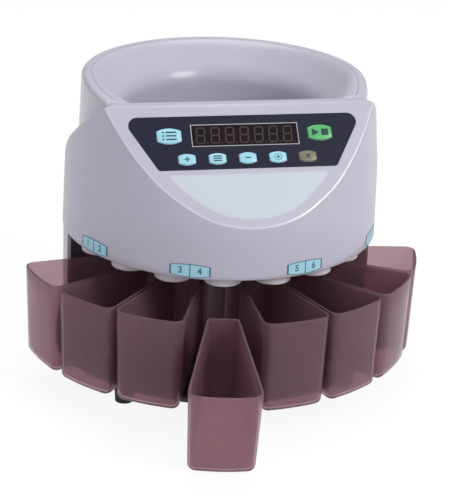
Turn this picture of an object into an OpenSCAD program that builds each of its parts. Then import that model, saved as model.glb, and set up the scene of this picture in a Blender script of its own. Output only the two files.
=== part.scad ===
// Counter-top coin counting machine: round case with a D-shaped hopper, a sloping
// key panel, eight coin tubes and a ring of eight pull-out drawers.
// Millimetres. Front is -Y, up is +Z, and Z = 0 is the surface that it stands on.
// Azimuth is measured round the machine's axis from the front, positive to +X.

/* [Drawers] */
// how far the ring of drawers reaches out beyond the case
drawer_over = 40.75; // [25:0.25:55]
// space between the column and the drawers' narrow tail ends
tail_gap = 12; // [6:0.5:18]
// height of one drawer
drawer_h = 83; // [60:0.5:90]
// angle from one drawer to the next
drawer_pitch = 20.5; // [18:0.1:21.5]
// space between two neighbouring drawers
drawer_gap = 2.0; // [1:0.1:4]
// wall of a drawer
drawer_wall = 2.0; // [1.2:0.1:3]
// radius of a drawer's upright front corners
drawer_corner = 9; // [4:0.5:12]
// slope cut along a drawer's bottom edges
drawer_chamfer = 6; // [3:0.5:9]
// how far the fourth drawer's tail end still lies behind the base's lip
tail_rest = 4; // [2:0.5:30]

/* [Base] */
// how far the base plate reaches out beyond the case
base_over = 7.75; // [4:0.25:14]
// thickness of the base plate
base_t = 6; // [4:0.5:10]
// rounding of the base plate's upper edge
base_edge = 2.5; // [1:0.1:3]
// height of the feet
foot_h = 16; // [8:0.5:20]
// largest radius of a foot
foot_r = 9; // [6:0.5:12]
// distance of the feet's middles from the base plate's edge
foot_in = 10.5; // [10:0.5:30]
// azimuth of the feet, left and right of front and rear
foot_az = 46; // [30:1:60]
// radius of the screws in the feet
foot_screw_r = 1.7; // [1.2:0.1:2.2]
// width of the ribs between two drawers' bays
rib_w = 2.2; // [1.5:0.1:3]
// length of those ribs
rib_l = 46; // [30:1:56]
// height of those ribs
rib_h = 3.4; // [2:0.1:4]
// distance of their front ends from the base's rounded edge
rib_in = 6; // [3:0.5:12]

/* [Case] */
// radius of the case at its lower edge
case_r = 142.25; // [128:0.25:156]
// how much narrower the case is at its top
case_draft = 3.25; // [0:0.25:8]
// how much narrower still it is there, gained above the hopper's ledge
crown_draft = 3.5; // [0:0.25:5]
// slope of the shoulders that fall from the panel's top edge to the ledge
shoulder_tilt = 40; // [36:0.5:46]
// wall of the case
case_wall = 2.5; // [2:0.1:3.5]
// height of the deck over the drawers' rims
deck_rise = 44.7; // [38:0.1:52]
// how far the case's lower edge hangs below the deck
skirt_drop = 22; // [16:0.5:26]
// height of the ledge that the hopper stands on over the sorting ring
ledge_rise = 32; // [26:0.5:40]
// height of the panel's top edge over that ledge
panel_rise = 58; // [50:0.5:66]
// slope of the key panel
panel_tilt = 48.2; // [44:0.1:52]
// distance of the panel's top edge in from the case's lower edge
panel_in = 75.25; // [70:0.25:82]
// width of the flat lip between the panel and the hopper
lip_w = 7; // [4:0.5:10]
// radius of the posts that the deck is screwed to
post_r = 4.5; // [3.5:0.1:5]
// distance of those posts' middles from the case's outside
post_in = 10.25; // [8:0.25:12]

/* [Hopper] */
// how far the hopper's rim stands in from the case's outside
hopper_in = 15.5; // [12:0.25:22]
// how much wider the hopper is at its foot than at its rim, each side
hopper_draft = 2.25; // [0:0.25:4]
// wall of the hopper's collar
hopper_wall = 8.5; // [5:0.25:10]
// height of the hopper's rim over the panel's top edge
rim_rise = 8; // [4:0.5:16]
// rounding of the rim outside
rim_edge = 3; // [1:0.25:4]
// rounding of the rim inside, along the seam to the bowl
rim_seam = 1; // [0.5:0.25:2]
// slope by which the rim falls to the panel's top edge in front
rim_fall = 8; // [6:0.5:20]
// how far the bowl's mouth stands in from the turntable's edge
mouth_in = 16; // [8:0.5:24]
// how much wider the bowl's neck is at its top than at its mouth
neck_flare = 4; // [1:0.25:8]
// slope of the bowl's funnel over the neck
bowl_slope = 45; // [35:1:55]
// wall of the bowl
bowl_wall = 2.4; // [1.6:0.1:3]

/* [Panel] */
// how much narrower the overlay's top is than the case, each side
overlay_side = 37.25; // [34:0.25:44]
// how much narrower the overlay's bottom is than its top, each side
overlay_taper = 28; // [20:0.5:32]
// distance of the overlay's top below the panel's top edge
overlay_v0 = 10.4; // [8:0.2:12]
// height of the overlay along the slope
overlay_h = 49.1; // [46:0.1:55]
// thickness of the overlay
overlay_t = 0.8; // [0.5:0.1:1.2]
// how far the overlay stands proud of the panel
overlay_rise = 0.1; // [0:0.05:0.3]
// height of the display window
window_h = 19; // [16:0.5:22]
// distance of the window's middle below the overlay's top
window_v0 = 18; // [16:0.2:19]
// space between the window and a large key
window_side = 9.15; // [4:0.05:12]
// width of a small key
key_w = 14.6; // [12:0.2:19]
// height of a small key
key_h = 10; // [8:0.1:12.5]
// distance from one small key to the next
key_pitch = 26.15; // [24:0.05:27]
// distance of the small keys' middles above the overlay's bottom
key_v0 = 9.5; // [8:0.1:11]
// width of a large key
big_w = 20.7; // [18:0.1:26]
// height of a large key
big_h = 14.1; // [11:0.1:18]
// distance of a large key's middle in from the overlay's top corner
big_side = 39.5; // [37:0.1:43]
// height of the keys over the overlay
key_rise = 1.6; // [1:0.1:2.5]
// travel of a key
key_travel = 0.7; // [0.4:0.05:0.9]
// depth of the control board under the panel
board_w = 12.4; // [11.5:0.1:14]
// thickness of the control board
board_t = 1.6; // [1:0.1:2]

/* [Labels] */
// width of a drawer label
label_w = 35.5; // [30:0.5:44]
// height of a drawer label
label_h = 12; // [8:0.5:14]
// distance of a label above the case's lower edge
label_up = 1.5; // [1:0.1:4]
// how far round to the left the two front labels sit from between their drawers
label_turn = 1.4; // [0:0.1:3]

/* [Sorting] */
// outer radius of a coin tube
tube_r = 16; // [14:0.25:18]
// wall of a coin tube
tube_wall = 1.6; // [1:0.1:2]
// space between the tubes and the case's wall
tube_side = 3.25; // [2:0.25:5]
// how far the tubes reach below the case's lower edge
tube_drop = 8; // [4:0.25:10]
// radius of the core column
core_r = 68; // [60:0.25:76]
// wall of the core column
core_wall = 4; // [3:0.25:5]
// thickness of the deck
deck_t = 3; // [2:0.25:4]
// height of the sorting ring's underside over the deck's
ring_rise = 20; // [18:0.25:24]
// thickness of the sorting ring
ring_t = 2.5; // [1.5:0.25:3]
// width of the sorting ring inside the tubes' middles
ring_land = 19.5; // [17:0.25:22]
// width of the sorting ring outside the tubes' middles
ring_outer = 12.7; // [11:0.1:13.5]
// thickness of the rail round the sorting ring
rail_t = 1.8; // [1:0.1:2.5]
// height of that rail over the sorting ring
rail_h = 4.5; // [3:0.25:6]
// half width of the smallest sorting slot
hole_small = 8.4; // [7.5:0.1:9]
// step from one sorting slot's half width to the next
hole_step = 0.65; // [0.5:0.05:0.7]
// space between two neighbouring gate plates of the sorting ring
gate_gap = 0.4; // [0.2:0.1:1]

/* [Drive] */
// space between the turntable and the sorting ring
table_gap = 1; // [0.5:0.25:2]
// thickness of the turntable
table_t = 3.5; // [2.5:0.25:4]
// radius of the turntable's hub
hub_r = 12; // [9:0.5:16]
// radius of the cap on the turntable
cap_r = 22; // [18:0.5:26]
// height of that cap
cap_h = 12; // [8:0.5:16]
// radius of the turntable's shaft
shaft_r = 5; // [4:0.25:6]
// tooth size of the two gears
gear_module = 2; // [1.8:0.1:2.2]
// teeth of the gear on the shaft
gear_teeth = 30; // [30:1:30]
// teeth of the motor's pinion
pinion_teeth = 10; // [10:1:10]
// face width of the gears
gear_h = 10; // [6:0.5:12]
// space between the motor and the column's inside
motor_gap = 5; // [2:0.25:12]
// length of the motor
motor_h = 56; // [40:1:70]

/* [Rear] */
// azimuth where the housing's side walls begin
wing_az = 84; // [83.5:0.1:88]
// distance of the housing's front wall behind the axis
rear_y = 20; // [18:0.5:24]
// how far the rear housing stands in from the case's outside
rear_in = 0.75; // [0.5:0.05:1.5]
// wall of the rear housing
rear_wall = 3; // [2:0.25:4]
// how far the flat rear face is cut in from the housing's round
flat_cut = 4.5; // [3:0.25:6]
// height of the band over the flat face that follows the case
flat_band = 8; // [5:0.5:14]
// height of the mains inlet and the switch over the base
inlet_rise = 32; // [20:1:60]
// distance of the mains inlet and the switch from the middle
inlet_x = 19; // [16.5:0.5:21]
// width of the mains inlet's body
inlet_w = 27; // [26:0.5:28]
// height of the mains inlet's body
inlet_h = 19; // [18:0.5:20]
// width of the rocker's body
rocker_w = 20; // [18:0.5:21]
// height of the rocker's body
rocker_h = 14; // [13:0.5:15]
// distance of the vents' middles from the machine's middle
vent_x = 45; // [40:0.5:60]
// height of the vents
vent_h = 26; // [15:1:32]

/* [Fits] */
// space between a moving piece and what it moves in
run_gap = 0.3; // [0.2:0.05:0.5]
// radial space of a pin in its bore
pin_gap = 0.05; // [0.02:0.01:0.09]

/* [Hidden] */
$fn = 96;
eps = 0.01;
far = 600;
tubes = [-3.5, -2.5, -1.5, -0.5, 0.5, 1.5, 2.5, 3.5];
// heights, from the surface up
base_z = foot_h;
floor_z = foot_h + base_t;
drawer_z = floor_z + run_gap;
deck_z = drawer_z + drawer_h + deck_rise;
skirt_z = deck_z - skirt_drop;
tube_z = skirt_z - tube_drop;
ring_z = deck_z + ring_rise;
ledge_z = ring_z + ledge_rise;
panel_z = ledge_z + panel_rise;
rim_z = panel_z + rim_rise;
table_z = ring_z + 0.5;
bowl_z = table_z + table_t + 3;
bowl_top_z = rim_z - rim_seam - 0.5;
gear_z = deck_z - 8 - gear_h;
bracket_t = 3;
bracket_z = gear_z - 8;
core_top = deck_z;
inlet_z = floor_z + inlet_rise;
// radii, from the case in and out
case_r_top = case_r - case_draft;
hopper_r = case_r - hopper_in;
post_ring = case_r - post_in;
tube_ring = case_r - case_wall - tube_side - tube_r;
ring_in = tube_ring - ring_land;
ring_out = tube_ring + ring_outer;
table_r = ring_in - table_gap;
bowl_top_r = hopper_r - hopper_wall;
mouth_r = table_r - mouth_in;
neck_r = mouth_r + neck_flare;
neck_z = bowl_top_z - (bowl_top_r - bowl_wall - neck_r) * tan(bowl_slope);
foot_of_hopper = hopper_r + hopper_draft;
rear_r = case_r - rear_in;
rear_flat = rear_r - flat_cut;
rear_room = rear_flat - rear_wall - core_r;
base_r = case_r + base_over;
foot_ring = base_r - foot_in;
drawer_r = case_r + drawer_over;
drawer_tail = core_r + tail_gap;
// the fourth drawer's place over the base's lip
lip_r = base_r - base_edge;
lip_z = floor_z - base_edge;
lip_h = base_edge + run_gap;
drawn_out = lip_r - drawer_tail - tail_rest;
out_d = drawer_r - drawer_chamfer + drawn_out - lip_r;
tip = asin(lip_z / sqrt(out_d * out_d + lip_h * lip_h)) + atan(lip_h / out_d);
front_reach = lip_r + (out_d + drawer_chamfer) * cos(tip) + (drawer_h + lip_h) * sin(tip);
axis_y = (front_reach * cos(drawer_pitch / 2) - case_r) / 2;
// the panel and what is in it
panel_y = case_r - panel_in;
lip_y = panel_y - lip_w;
case_slope = case_draft / (panel_z - skirt_z);
crown_r = case_r_top - crown_draft;
crown_slope = (case_r_at(ledge_z) - crown_r) / (panel_z - ledge_z);
overlay_top = case_r - overlay_side;
overlay_bottom = overlay_top - overlay_taper;
overlay_v1 = overlay_v0 + overlay_h;
window_v = overlay_v0 + window_v0;
key_v = overlay_v1 - key_v0;
big_u = overlay_top - big_side;
window_w = 2 * (big_u - big_w / 2 - window_side);
pocket = overlay_t - overlay_rise;
flange_w = case_wall + run_gap;
flange_t = 1.2;
switch_h = board_w - flange_w - flange_t - key_travel - 0.5;
stem_r = 1.5;
// the drive
gear_r = gear_module * gear_teeth / 2;
pinion_r = gear_module * pinion_teeth / 2;
motor_y = gear_r + pinion_r;
motor_r = core_r - core_wall - motor_y - motor_gap;
screw_x = motor_r - 7;
post_az = [0, -41, 41, -110, 110, 180];
pillar_az = [120, 180, 240];

module on_axis() { translate([0, axis_y, 0]) children(); }
module at_az(a) { on_axis() rotate([0, 0, a]) children(); }
module on_panel() {
  on_axis() translate([0, -panel_y, panel_z]) rotate([panel_tilt, 0, 0]) children();
}
module tube(r, t, z0, z1) {
  translate([0, 0, z0]) difference() {
    cylinder(r = r, h = z1 - z0);
    translate([0, 0, -1]) cylinder(r = r - t, h = z1 - z0 + 2);
  }
}
module behind(y) { translate([-far / 2, y, -far / 2]) cube(far); }
module ahead(y) { translate([-far / 2, y - far, -far / 2]) cube(far); }

// Plate with a rounded upper edge, low ribs that keep the drawers apart, foot holes.
module base_plate() {
  color([0.05, 0.05, 0.055]) difference() {
    on_axis() union() {
      translate([0, 0, base_z]) rotate_extrude() union() {
        square([lip_r, base_t]);
        square([base_r, base_t - base_edge]);
        translate([lip_r, base_t - base_edge]) circle(r = base_edge);
      }
      for (i = [-3 : 3]) rotate([0, 0, i * drawer_pitch])
        translate([-rib_w / 2, -lip_r + rib_in, floor_z - eps]) cube([rib_w, rib_l, rib_h]);
    }
    for (a = foot_places()) at_az(a)
      translate([0, -foot_ring, base_z - 1]) cylinder(r = foot_screw_r, h = base_t - 1);
  }
}
function foot_places() = [foot_az, -foot_az, 180 - foot_az, foot_az - 180];

// Four rubber feet, each held by a screw from below.
module feet() {
  color([0.07, 0.07, 0.07]) for (a = foot_places()) at_az(a)
    translate([0, -foot_ring, 0]) difference() {
      cylinder(r1 = foot_r - 1, r2 = foot_r, h = foot_h);
      translate([0, 0, -1]) cylinder(r = 4, h = foot_h * 0.375 + 1);
      translate([0, 0, -1]) cylinder(r = foot_screw_r, h = foot_h + 2);
    }
}
module foot_screws() {
  color([0.62, 0.62, 0.64]) for (a = foot_places()) at_az(a)
    translate([0, -foot_ring, foot_h * 0.375]) difference() {
      union() {
        translate([0, 0, -2.2]) cylinder(r = 3.4, h = 2.2);
        cylinder(r = foot_screw_r, h = foot_h * 0.625 + base_t - 2);
      }
      translate([-0.5, -2.2, -3]) cube([1, 4.4, 1.8]);
      translate([-2.2, -0.5, -3]) cube([4.4, 1, 1.8]);
    }
}

// Dark column in the middle, with an inner ledge for the motor bracket.
module core_column() {
  color([0.09, 0.08, 0.09]) on_axis() {
    tube(core_r, core_wall, floor_z, core_top);
    tube(core_r - core_wall + eps, 3.5, bracket_z - 4, bracket_z);
  }
}

// Light rear box between the base and the case: round side walls that reach forward past
// the axis, a front wall against the column, and a flat face for the inlet.
module rear_housing() {
  color([0.74, 0.74, 0.77]) on_axis() difference() {
    intersection() {
      translate([0, 0, floor_z]) cylinder(r = rear_r, h = skirt_z - floor_z);
      behind(-rear_r * cos(wing_az));
    }
    intersection() {
      translate([0, 0, floor_z - 1]) cylinder(r = rear_r - rear_wall, h = far);
      behind(rear_y + rear_wall);
      ahead(rear_flat - rear_wall);
    }
    intersection() {
      translate([0, 0, floor_z - 1]) cylinder(r = rear_r - rear_wall, h = far);
      ahead(rear_y);
    }
    translate([-far / 2, rear_flat, floor_z - 1])
      cube([far, far, skirt_z - flat_band - floor_z + 1]);
    cylinder(r = core_r, h = far);
    translate([inlet_x - inlet_w / 2, 0, inlet_z - inlet_h / 2]) cube([inlet_w, far, inlet_h]);
    translate([-inlet_x - rocker_w / 2, 0, inlet_z - rocker_h / 2])
      cube([rocker_w, far, rocker_h]);
    for (i = [-3 : 3]) for (s = [-1, 1])
      translate([s * vent_x + i * 4 - 1.2, rear_flat / 2, skirt_z - flat_band - 2 - vent_h])
        cube([2.4, far, vent_h]);
  }
}

// Outer volume of the case, inset by i: two cones, key panel, top lip, shoulders and ledge.
module case_block(i) {
  intersection() {
    translate([0, 0, skirt_z - i]) cylinder(r1 = case_r - i + case_slope * i,
      r2 = case_r_top - i, h = panel_z - skirt_z + i);
    translate([0, 0, skirt_z - i]) cylinder(r2 = crown_r - i, h = panel_z - skirt_z + i,
      r1 = crown_r - i + crown_slope * (panel_z - skirt_z + i));
    translate([0, -panel_y, panel_z]) rotate([panel_tilt, 0, 0])
      translate([-far / 2, -far / 2, -far - i]) cube(far);
    union() {
      translate([-far / 2, -far / 2, ledge_z - i - far]) cube(far);
      translate([0, -panel_y, panel_z]) rotate([-shoulder_tilt, 0, 0])
        translate([-far / 2, -far / 2, -far - i]) cube(far);
      translate([0, 0, ledge_z - i])
        linear_extrude(panel_z - ledge_z) hopper_outline(foot_of_hopper - i, panel_y);
    }
  }
}
module behind_line(y) { translate([-far / 2, y]) square(far); }
module hopper_outline(r, y) {
  intersection() {
    circle(r = r);
    behind_line(-y);
  }
}

// Case: thin shell open below, with the hopper's opening, key holes, posts and pocket.
module case_shell() {
  color([0.77, 0.76, 0.81]) difference() {
    union() {
      on_axis() difference() {
        case_block(0);
        case_block(case_wall);
        translate([0, 0, ledge_z]) linear_extrude(far) hopper_outline(foot_of_hopper, lip_y);
        translate([0, 0, ledge_z - ledge_rise / 2])
          linear_extrude(far) hopper_outline(hopper_r - hopper_wall + 2, lip_y - 6);
      }
      for (a = post_az) at_az(a) case_post();
      for (p = board_posts()) on_panel() translate([p[0], -p[1], -board_w])
        cylinder(r = 3, h = board_w - 1);
    }
    on_panel() {
      translate([0, 0, -pocket]) linear_extrude(far / 10) overlay_outline(run_gap);
      translate([0, 0, -case_wall - 1]) linear_extrude(far / 10) all_keys(run_gap);
      translate([-window_w / 2 + 1.5, -window_v - window_h / 2 + 1.5, -case_wall - 1])
        cube([window_w - 3, window_h - 3, 10]);
      for (p = board_posts()) translate([p[0], -p[1], -board_w - 1]) cylinder(r = 1.1, h = 8);
    }
    for (a = post_az) at_az(a)
      translate([0, -post_ring, deck_z]) cylinder(r = 1.6, h = 12);
  }
}
module case_post() {
  translate([0, -post_ring, deck_z + deck_t]) {
    cylinder(r = post_r, h = 14);
    translate([-1.2, -(case_r_at(deck_z + 16) - case_wall - post_ring) - 0.4, 0])
      cube([2.4, case_r_at(deck_z + 16) - case_wall - post_ring + 0.4, 14]);
  }
}
function case_r_at(z) = case_r - case_slope * (z - skirt_z);
function board_posts() = [for (s = [-1, 1]) each [[s * (overlay_top - 8.4), overlay_v0 + 3.6],
  [s * (overlay_bottom - 3), overlay_v1 - 2.5]]];

// Hopper collar: D-shaped wall with a rounded rim that stands on the case's ledge; its
// straight front wall goes down behind the key panel to the track.
module hopper_collar() {
  color([0.77, 0.76, 0.81]) on_axis() difference() {
    union() {
      intersection() {
        rotate_extrude() union() {
          translate([hopper_r - hopper_wall, ledge_z])
            square([hopper_wall, rim_z - ledge_z - rim_edge]);
          translate([hopper_r - hopper_wall, ledge_z])
            square([rim_edge, rim_z - ledge_z - rim_seam]);
          polygon([[hopper_r - eps, ledge_z], [foot_of_hopper, ledge_z],
            [hopper_r, rim_z - rim_edge], [hopper_r - eps, rim_z - rim_edge]]);
          translate([hopper_r - hopper_wall + rim_seam, ledge_z])
            square([hopper_wall - rim_edge - rim_seam, rim_z - ledge_z]);
          translate([hopper_r - rim_edge, rim_z - rim_edge]) circle(r = rim_edge);
          translate([hopper_r - hopper_wall + rim_seam, rim_z - rim_seam])
            circle(r = rim_seam);
        }
        behind(-lip_y);
      }
      translate([0, 0, bowl_z + 1]) linear_extrude(panel_z - bowl_z - 1) difference() {
        hopper_outline(bowl_top_r + eps, lip_y);
        behind_line(-lip_y + 4);
      }
    }
    over_front();
  }
}

// Space over the rim's falling front end.
module over_front() {
  translate([0, -lip_y, panel_z]) rotate([rim_fall, 0, 0])
    translate([-far / 2, -far, 0]) cube([far, 2 * far, far]);
}

// Bowl: funnel inside the collar with a short steep neck over the turntable, cut off in front.
module hopper_bowl() {
  color([0.72, 0.71, 0.76]) on_axis() difference() {
    intersection() {
      rotate_extrude() polygon([[mouth_r, bowl_z], [mouth_r + bowl_wall, bowl_z],
        [neck_r + bowl_wall, neck_z], [bowl_top_r, bowl_top_z - bowl_wall],
        [bowl_top_r, bowl_top_z], [bowl_top_r - bowl_wall, bowl_top_z], [neck_r, neck_z]]);
      behind(-lip_y + 4);
    }
    translate([0, 0, -1]) over_front();
  }
}

// Outline with true round corners: p holds [x, y, radius], anticlockwise.
function unit(v) = v / norm(v);
module rounded(p) {
  n = len(p);
  xy = [for (q = p) [q[0], q[1]]];
  a = [for (i = [0 : n - 1]) unit(xy[(i + n - 1) % n] - xy[i])];
  b = [for (i = [0 : n - 1]) unit(xy[(i + 1) % n] - xy[i])];
  half = [for (i = [0 : n - 1]) acos(a[i] * b[i]) / 2];
  polygon([for (i = [0 : n - 1]) for (k = [0, 1])
    xy[i] + (k == 0 ? a[i] : b[i]) * p[i][2] / tan(half[i])]);
  for (i = [0 : n - 1])
    translate(xy[i] + unit(a[i] + b[i]) * p[i][2] / sin(half[i])) circle(r = p[i][2]);
}
module overlay_outline(g) {
  rounded([[-overlay_bottom - g, -overlay_v1 - g, 4 + g], [overlay_bottom + g, -overlay_v1 - g, 4 + g],
    [overlay_top + g, -overlay_v0 + g, 8 + g], [-overlay_top - g, -overlay_v0 + g, 8 + g]]);
}
module key_outline(w, h, g) {
  bulge = w * 1.1;
  intersection() {
    square([w + 2 * g, h + 2 * g], center = true);
    translate([0, h / 2 + g - bulge]) circle(r = bulge);
    translate([0, bulge - h / 2 - g]) circle(r = bulge);
  }
}
function key_places() = [for (i = [-2 : 2]) [i * key_pitch, key_v, key_w, key_h],
  [-big_u, window_v, big_w, big_h], [big_u, window_v, big_w, big_h]];
module all_keys(g) {
  for (k = key_places()) translate([k[0], -k[1]]) key_outline(k[2], k[3], g);
}

module panel_overlay() {
  color([0.13, 0.13, 0.19]) on_panel() translate([0, 0, -pocket]) linear_extrude(overlay_t)
    difference() {
      overlay_outline(0);
      all_keys(run_gap);
      translate([0, -window_v]) square([window_w, window_h], center = true);
    }
}
module display_window() {
  color([0.16, 0.11, 0.10, 0.8]) on_panel() translate([0, -window_v, -pocket])
    linear_extrude(overlay_t - 0.1) square([window_w, window_h], center = true);
}
// Seven-digit display block that stands on the control board behind the window.
module display_module() {
  color([0.1, 0.09, 0.09]) on_panel()
    translate([-window_w / 2 + 2.5, -window_v - window_h / 2 + 2.5, -board_w])
      cube([window_w - 5, window_h - 5, board_w - pocket]);
}
module control_board() {
  color([0.05, 0.28, 0.13]) on_panel() translate([0, 0, -board_w - board_t])
    linear_extrude(board_t) difference() {
      polygon([for (q = [[-1, 1], [1, 1], [1, 0], [-1, 0]])
        q[1] == 1 ? [q[0] * (overlay_bottom + 3), -overlay_v1 - 2.5]
          : [q[0] * (overlay_top - 2.4), -overlay_v0 + 1.4]]);
      for (p = board_posts()) translate([p[0], -p[1]]) circle(r = 1.4);
    }
}
module board_screws() {
  color([0.62, 0.62, 0.64]) for (p = board_posts()) on_panel()
    translate([p[0], -p[1], -board_w - board_t]) {
      translate([0, 0, -1.8]) cylinder(r = 2.6, h = 1.8);
      cylinder(r = 1.1, h = board_t + 6);
    }
}
// One push switch under each key, with a bore that guides the key's stem.
module key_switches() {
  color([0.12, 0.12, 0.13]) on_panel() for (k = key_places())
    translate([k[0], -k[1], -board_w]) difference() {
      translate([-3.5, -3.5, 0]) cube([7, 7, switch_h]);
      translate([0, 0, 0.6]) cylinder(r = stem_r + pin_gap, h = switch_h);
    }
}
// Key: cap that passes through the panel, retaining flange and guiding stem.
module key(i, c) {
  k = key_places()[i];
  color(c) on_panel() translate([k[0], -k[1], 0]) {
    translate([0, 0, -flange_w - eps])
      linear_extrude(flange_w + key_rise - pocket + overlay_t) key_outline(k[2], k[3], 0);
    translate([0, 0, -flange_w - flange_t])
      linear_extrude(flange_t) square([k[2] + 2.4, k[3] + 1], center = true);
    translate([0, 0, -board_w + 0.6 + key_travel + 0.2])
      cylinder(r = stem_r, h = board_w - flange_w - flange_t - 0.8 - key_travel + eps);
  }
}
cyan = [0.55, 0.86, 0.93];
module add_key() { key(0, cyan); }
module batch_key() { key(1, cyan); }
module minus_key() { key(2, cyan); }
module set_key() { key(3, cyan); }
module clear_key() { key(4, [0.48, 0.46, 0.36]); }
module report_key() { key(5, cyan); }
module start_key() { key(6, [0.35, 0.76, 0.42]); }

// Four thin labels round the case's lower edge, one over each pair of drawers.
module drawer_labels() {
  color([0.75, 0.87, 0.95]) for (i = [-3, -1, 1, 3])
    at_az(i * drawer_pitch - (abs(i) == 1 ? label_turn : 0))
    intersection() {
      difference() {
        translate([0, 0, skirt_z]) cylinder(r1 = case_r + 0.3, r2 = case_r_top + 0.3,
          h = panel_z - skirt_z);
        translate([0, 0, skirt_z]) cylinder(r1 = case_r, r2 = case_r_top,
          h = panel_z - skirt_z);
      }
      translate([-label_w / 2, -far / 2, skirt_z + label_up]) cube([label_w, far / 2, label_h]);
    }
}

// Deck: carries the tubes in open slots, the sorting ring's pillars and a shaft bearing.
module deck_plate() {
  color([0.6, 0.61, 0.63]) difference() {
    on_axis() union() {
      translate([0, 0, deck_z]) cylinder(r = post_ring + post_r + 1, h = deck_t);
      for (a = pillar_az) rotate([0, 0, a])
        translate([0, -ring_mid(), deck_z]) cylinder(r = 5, h = ring_z - deck_z);
    }
    for (t = tubes) at_az(t * drawer_pitch) slot(tube_r, deck_z - 1, deck_t + 2);
    on_axis() translate([0, 0, deck_z - 1]) cylinder(r = 11, h = deck_t + 2);
    for (a = post_az) at_az(a)
      translate([0, -post_ring, deck_z - 1]) cylinder(r = 1.6, h = deck_t + 2);
  }
}
// Round-ended slot of half width r that opens outwards at a tube's place.
module slot(r, z, h) {
  translate([0, -tube_ring, z]) {
    cylinder(r = r, h = h);
    translate([-r, -far / 4, 0]) cube([2 * r, far / 4, h]);
  }
}
function ring_mid() = (ring_in + ring_out) / 2;
module deck_screws() {
  color([0.62, 0.62, 0.64]) for (a = post_az) at_az(a)
    translate([0, -post_ring, deck_z]) {
      translate([0, 0, -2.4]) cylinder(r = 3.4, h = 2.4);
      cylinder(r = 1.6, h = deck_t + 8);
    }
}

// Sorting ring: flat track round the turntable, cut away in front for the gate plates.
module sorting_ring() {
  color([0.76, 0.77, 0.78]) on_axis() difference() {
    tube(ring_out, ring_out - ring_in, ring_z, ring_z + ring_t);
    front_wedge(4 * drawer_pitch, -gate_gap / 2);
  }
}
// Wedge of space that reaches a degrees to each side of the front, its sides moved in by g.
module front_wedge(a, g) {
  translate([0, -g / sin(a), 0]) linear_extrude(far)
    polygon([[0, 0], [-far * sin(a), -far * cos(a)], [-far * sin(a), -far],
      [far * sin(a), -far], [far * sin(a), -far * cos(a)]]);
}
// Gate plates: eight short pieces of track on the tubes' tops; their slots grow step by step.
module gate_plates() {
  color([0.76, 0.77, 0.78]) for (i = [0 : 7]) at_az(tubes[i] * drawer_pitch) difference() {
    intersection() {
      tube(ring_out, ring_out - ring_in, ring_z, ring_z + ring_t);
      front_wedge(drawer_pitch / 2, gate_gap / 2);
    }
    slot(hole_small + i * hole_step, ring_z - 1, ring_t + 2);
  }
}
// Rail: thin upright ring round the track's outer edge.
module track_rail() {
  color([0.76, 0.77, 0.78]) on_axis()
    tube(ring_out + rail_t, rail_t, ring_z, ring_z + ring_t + rail_h);
}
module coin_tube(i) {
  color([0.80, 0.80, 0.83]) at_az(tubes[i] * drawer_pitch) translate([0, -tube_ring, 0]) {
    tube(tube_r, tube_wall, tube_z, ring_z);
    tube(tube_r + 1.5, 1.5 + tube_wall / 2, deck_z + deck_t, deck_z + deck_t + 2);
  }
}
module coin_tube_1() { coin_tube(0); }
module coin_tube_2() { coin_tube(1); }
module coin_tube_3() { coin_tube(2); }
module coin_tube_4() { coin_tube(3); }
module coin_tube_5() { coin_tube(4); }
module coin_tube_6() { coin_tube(5); }
module coin_tube_7() { coin_tube(6); }
module coin_tube_8() { coin_tube(7); }
// Small light gates on the deck, one beside each tube.
module coin_sensors() {
  color([0.1, 0.1, 0.12]) for (t = tubes) at_az(t * drawer_pitch)
    translate([-4, -tube_ring + tube_r + 1.5, deck_z + deck_t]) cube([8, 7, 13]);
}

// Turntable: disc with a hub below and six low ribs that sweep outwards.
module turntable() {
  color([0.42, 0.43, 0.46]) on_axis() difference() {
    union() {
      translate([0, 0, table_z]) cylinder(r = table_r, h = table_t);
      translate([0, 0, table_z - 8]) cylinder(r = hub_r, h = 9);
      for (a = [0 : 60 : 300]) rotate([0, 0, a + 15])
        translate([cap_r + 4, -1.5, table_z + table_t - 1]) cube([table_r - cap_r - 8, 3, 3.2]);
    }
    translate([0, 0, table_z - 9]) cylinder(r = shaft_r, h = 30);
  }
}
module centre_cap() {
  color([0.2, 0.2, 0.22]) on_axis() translate([0, 0, table_z + table_t]) difference() {
    cylinder(r1 = cap_r, r2 = cap_r - 13, h = cap_h);
    translate([0, 0, -1]) cylinder(r = shaft_r, h = 5);
  }
}
module turntable_shaft() {
  color([0.7, 0.7, 0.72]) on_axis() translate([0, 0, bracket_z - 6])
    cylinder(r = shaft_r, h = table_z + table_t + 4 - bracket_z + 6);
}
module main_bearings() {
  color([0.66, 0.67, 0.69]) on_axis() {
    tube(11, 11 - shaft_r - pin_gap, deck_z - 3, deck_z + deck_t + 3);
    tube(9, 9 - shaft_r - pin_gap, bracket_z - 2, bracket_z + bracket_t + 2);
  }
}

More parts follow.
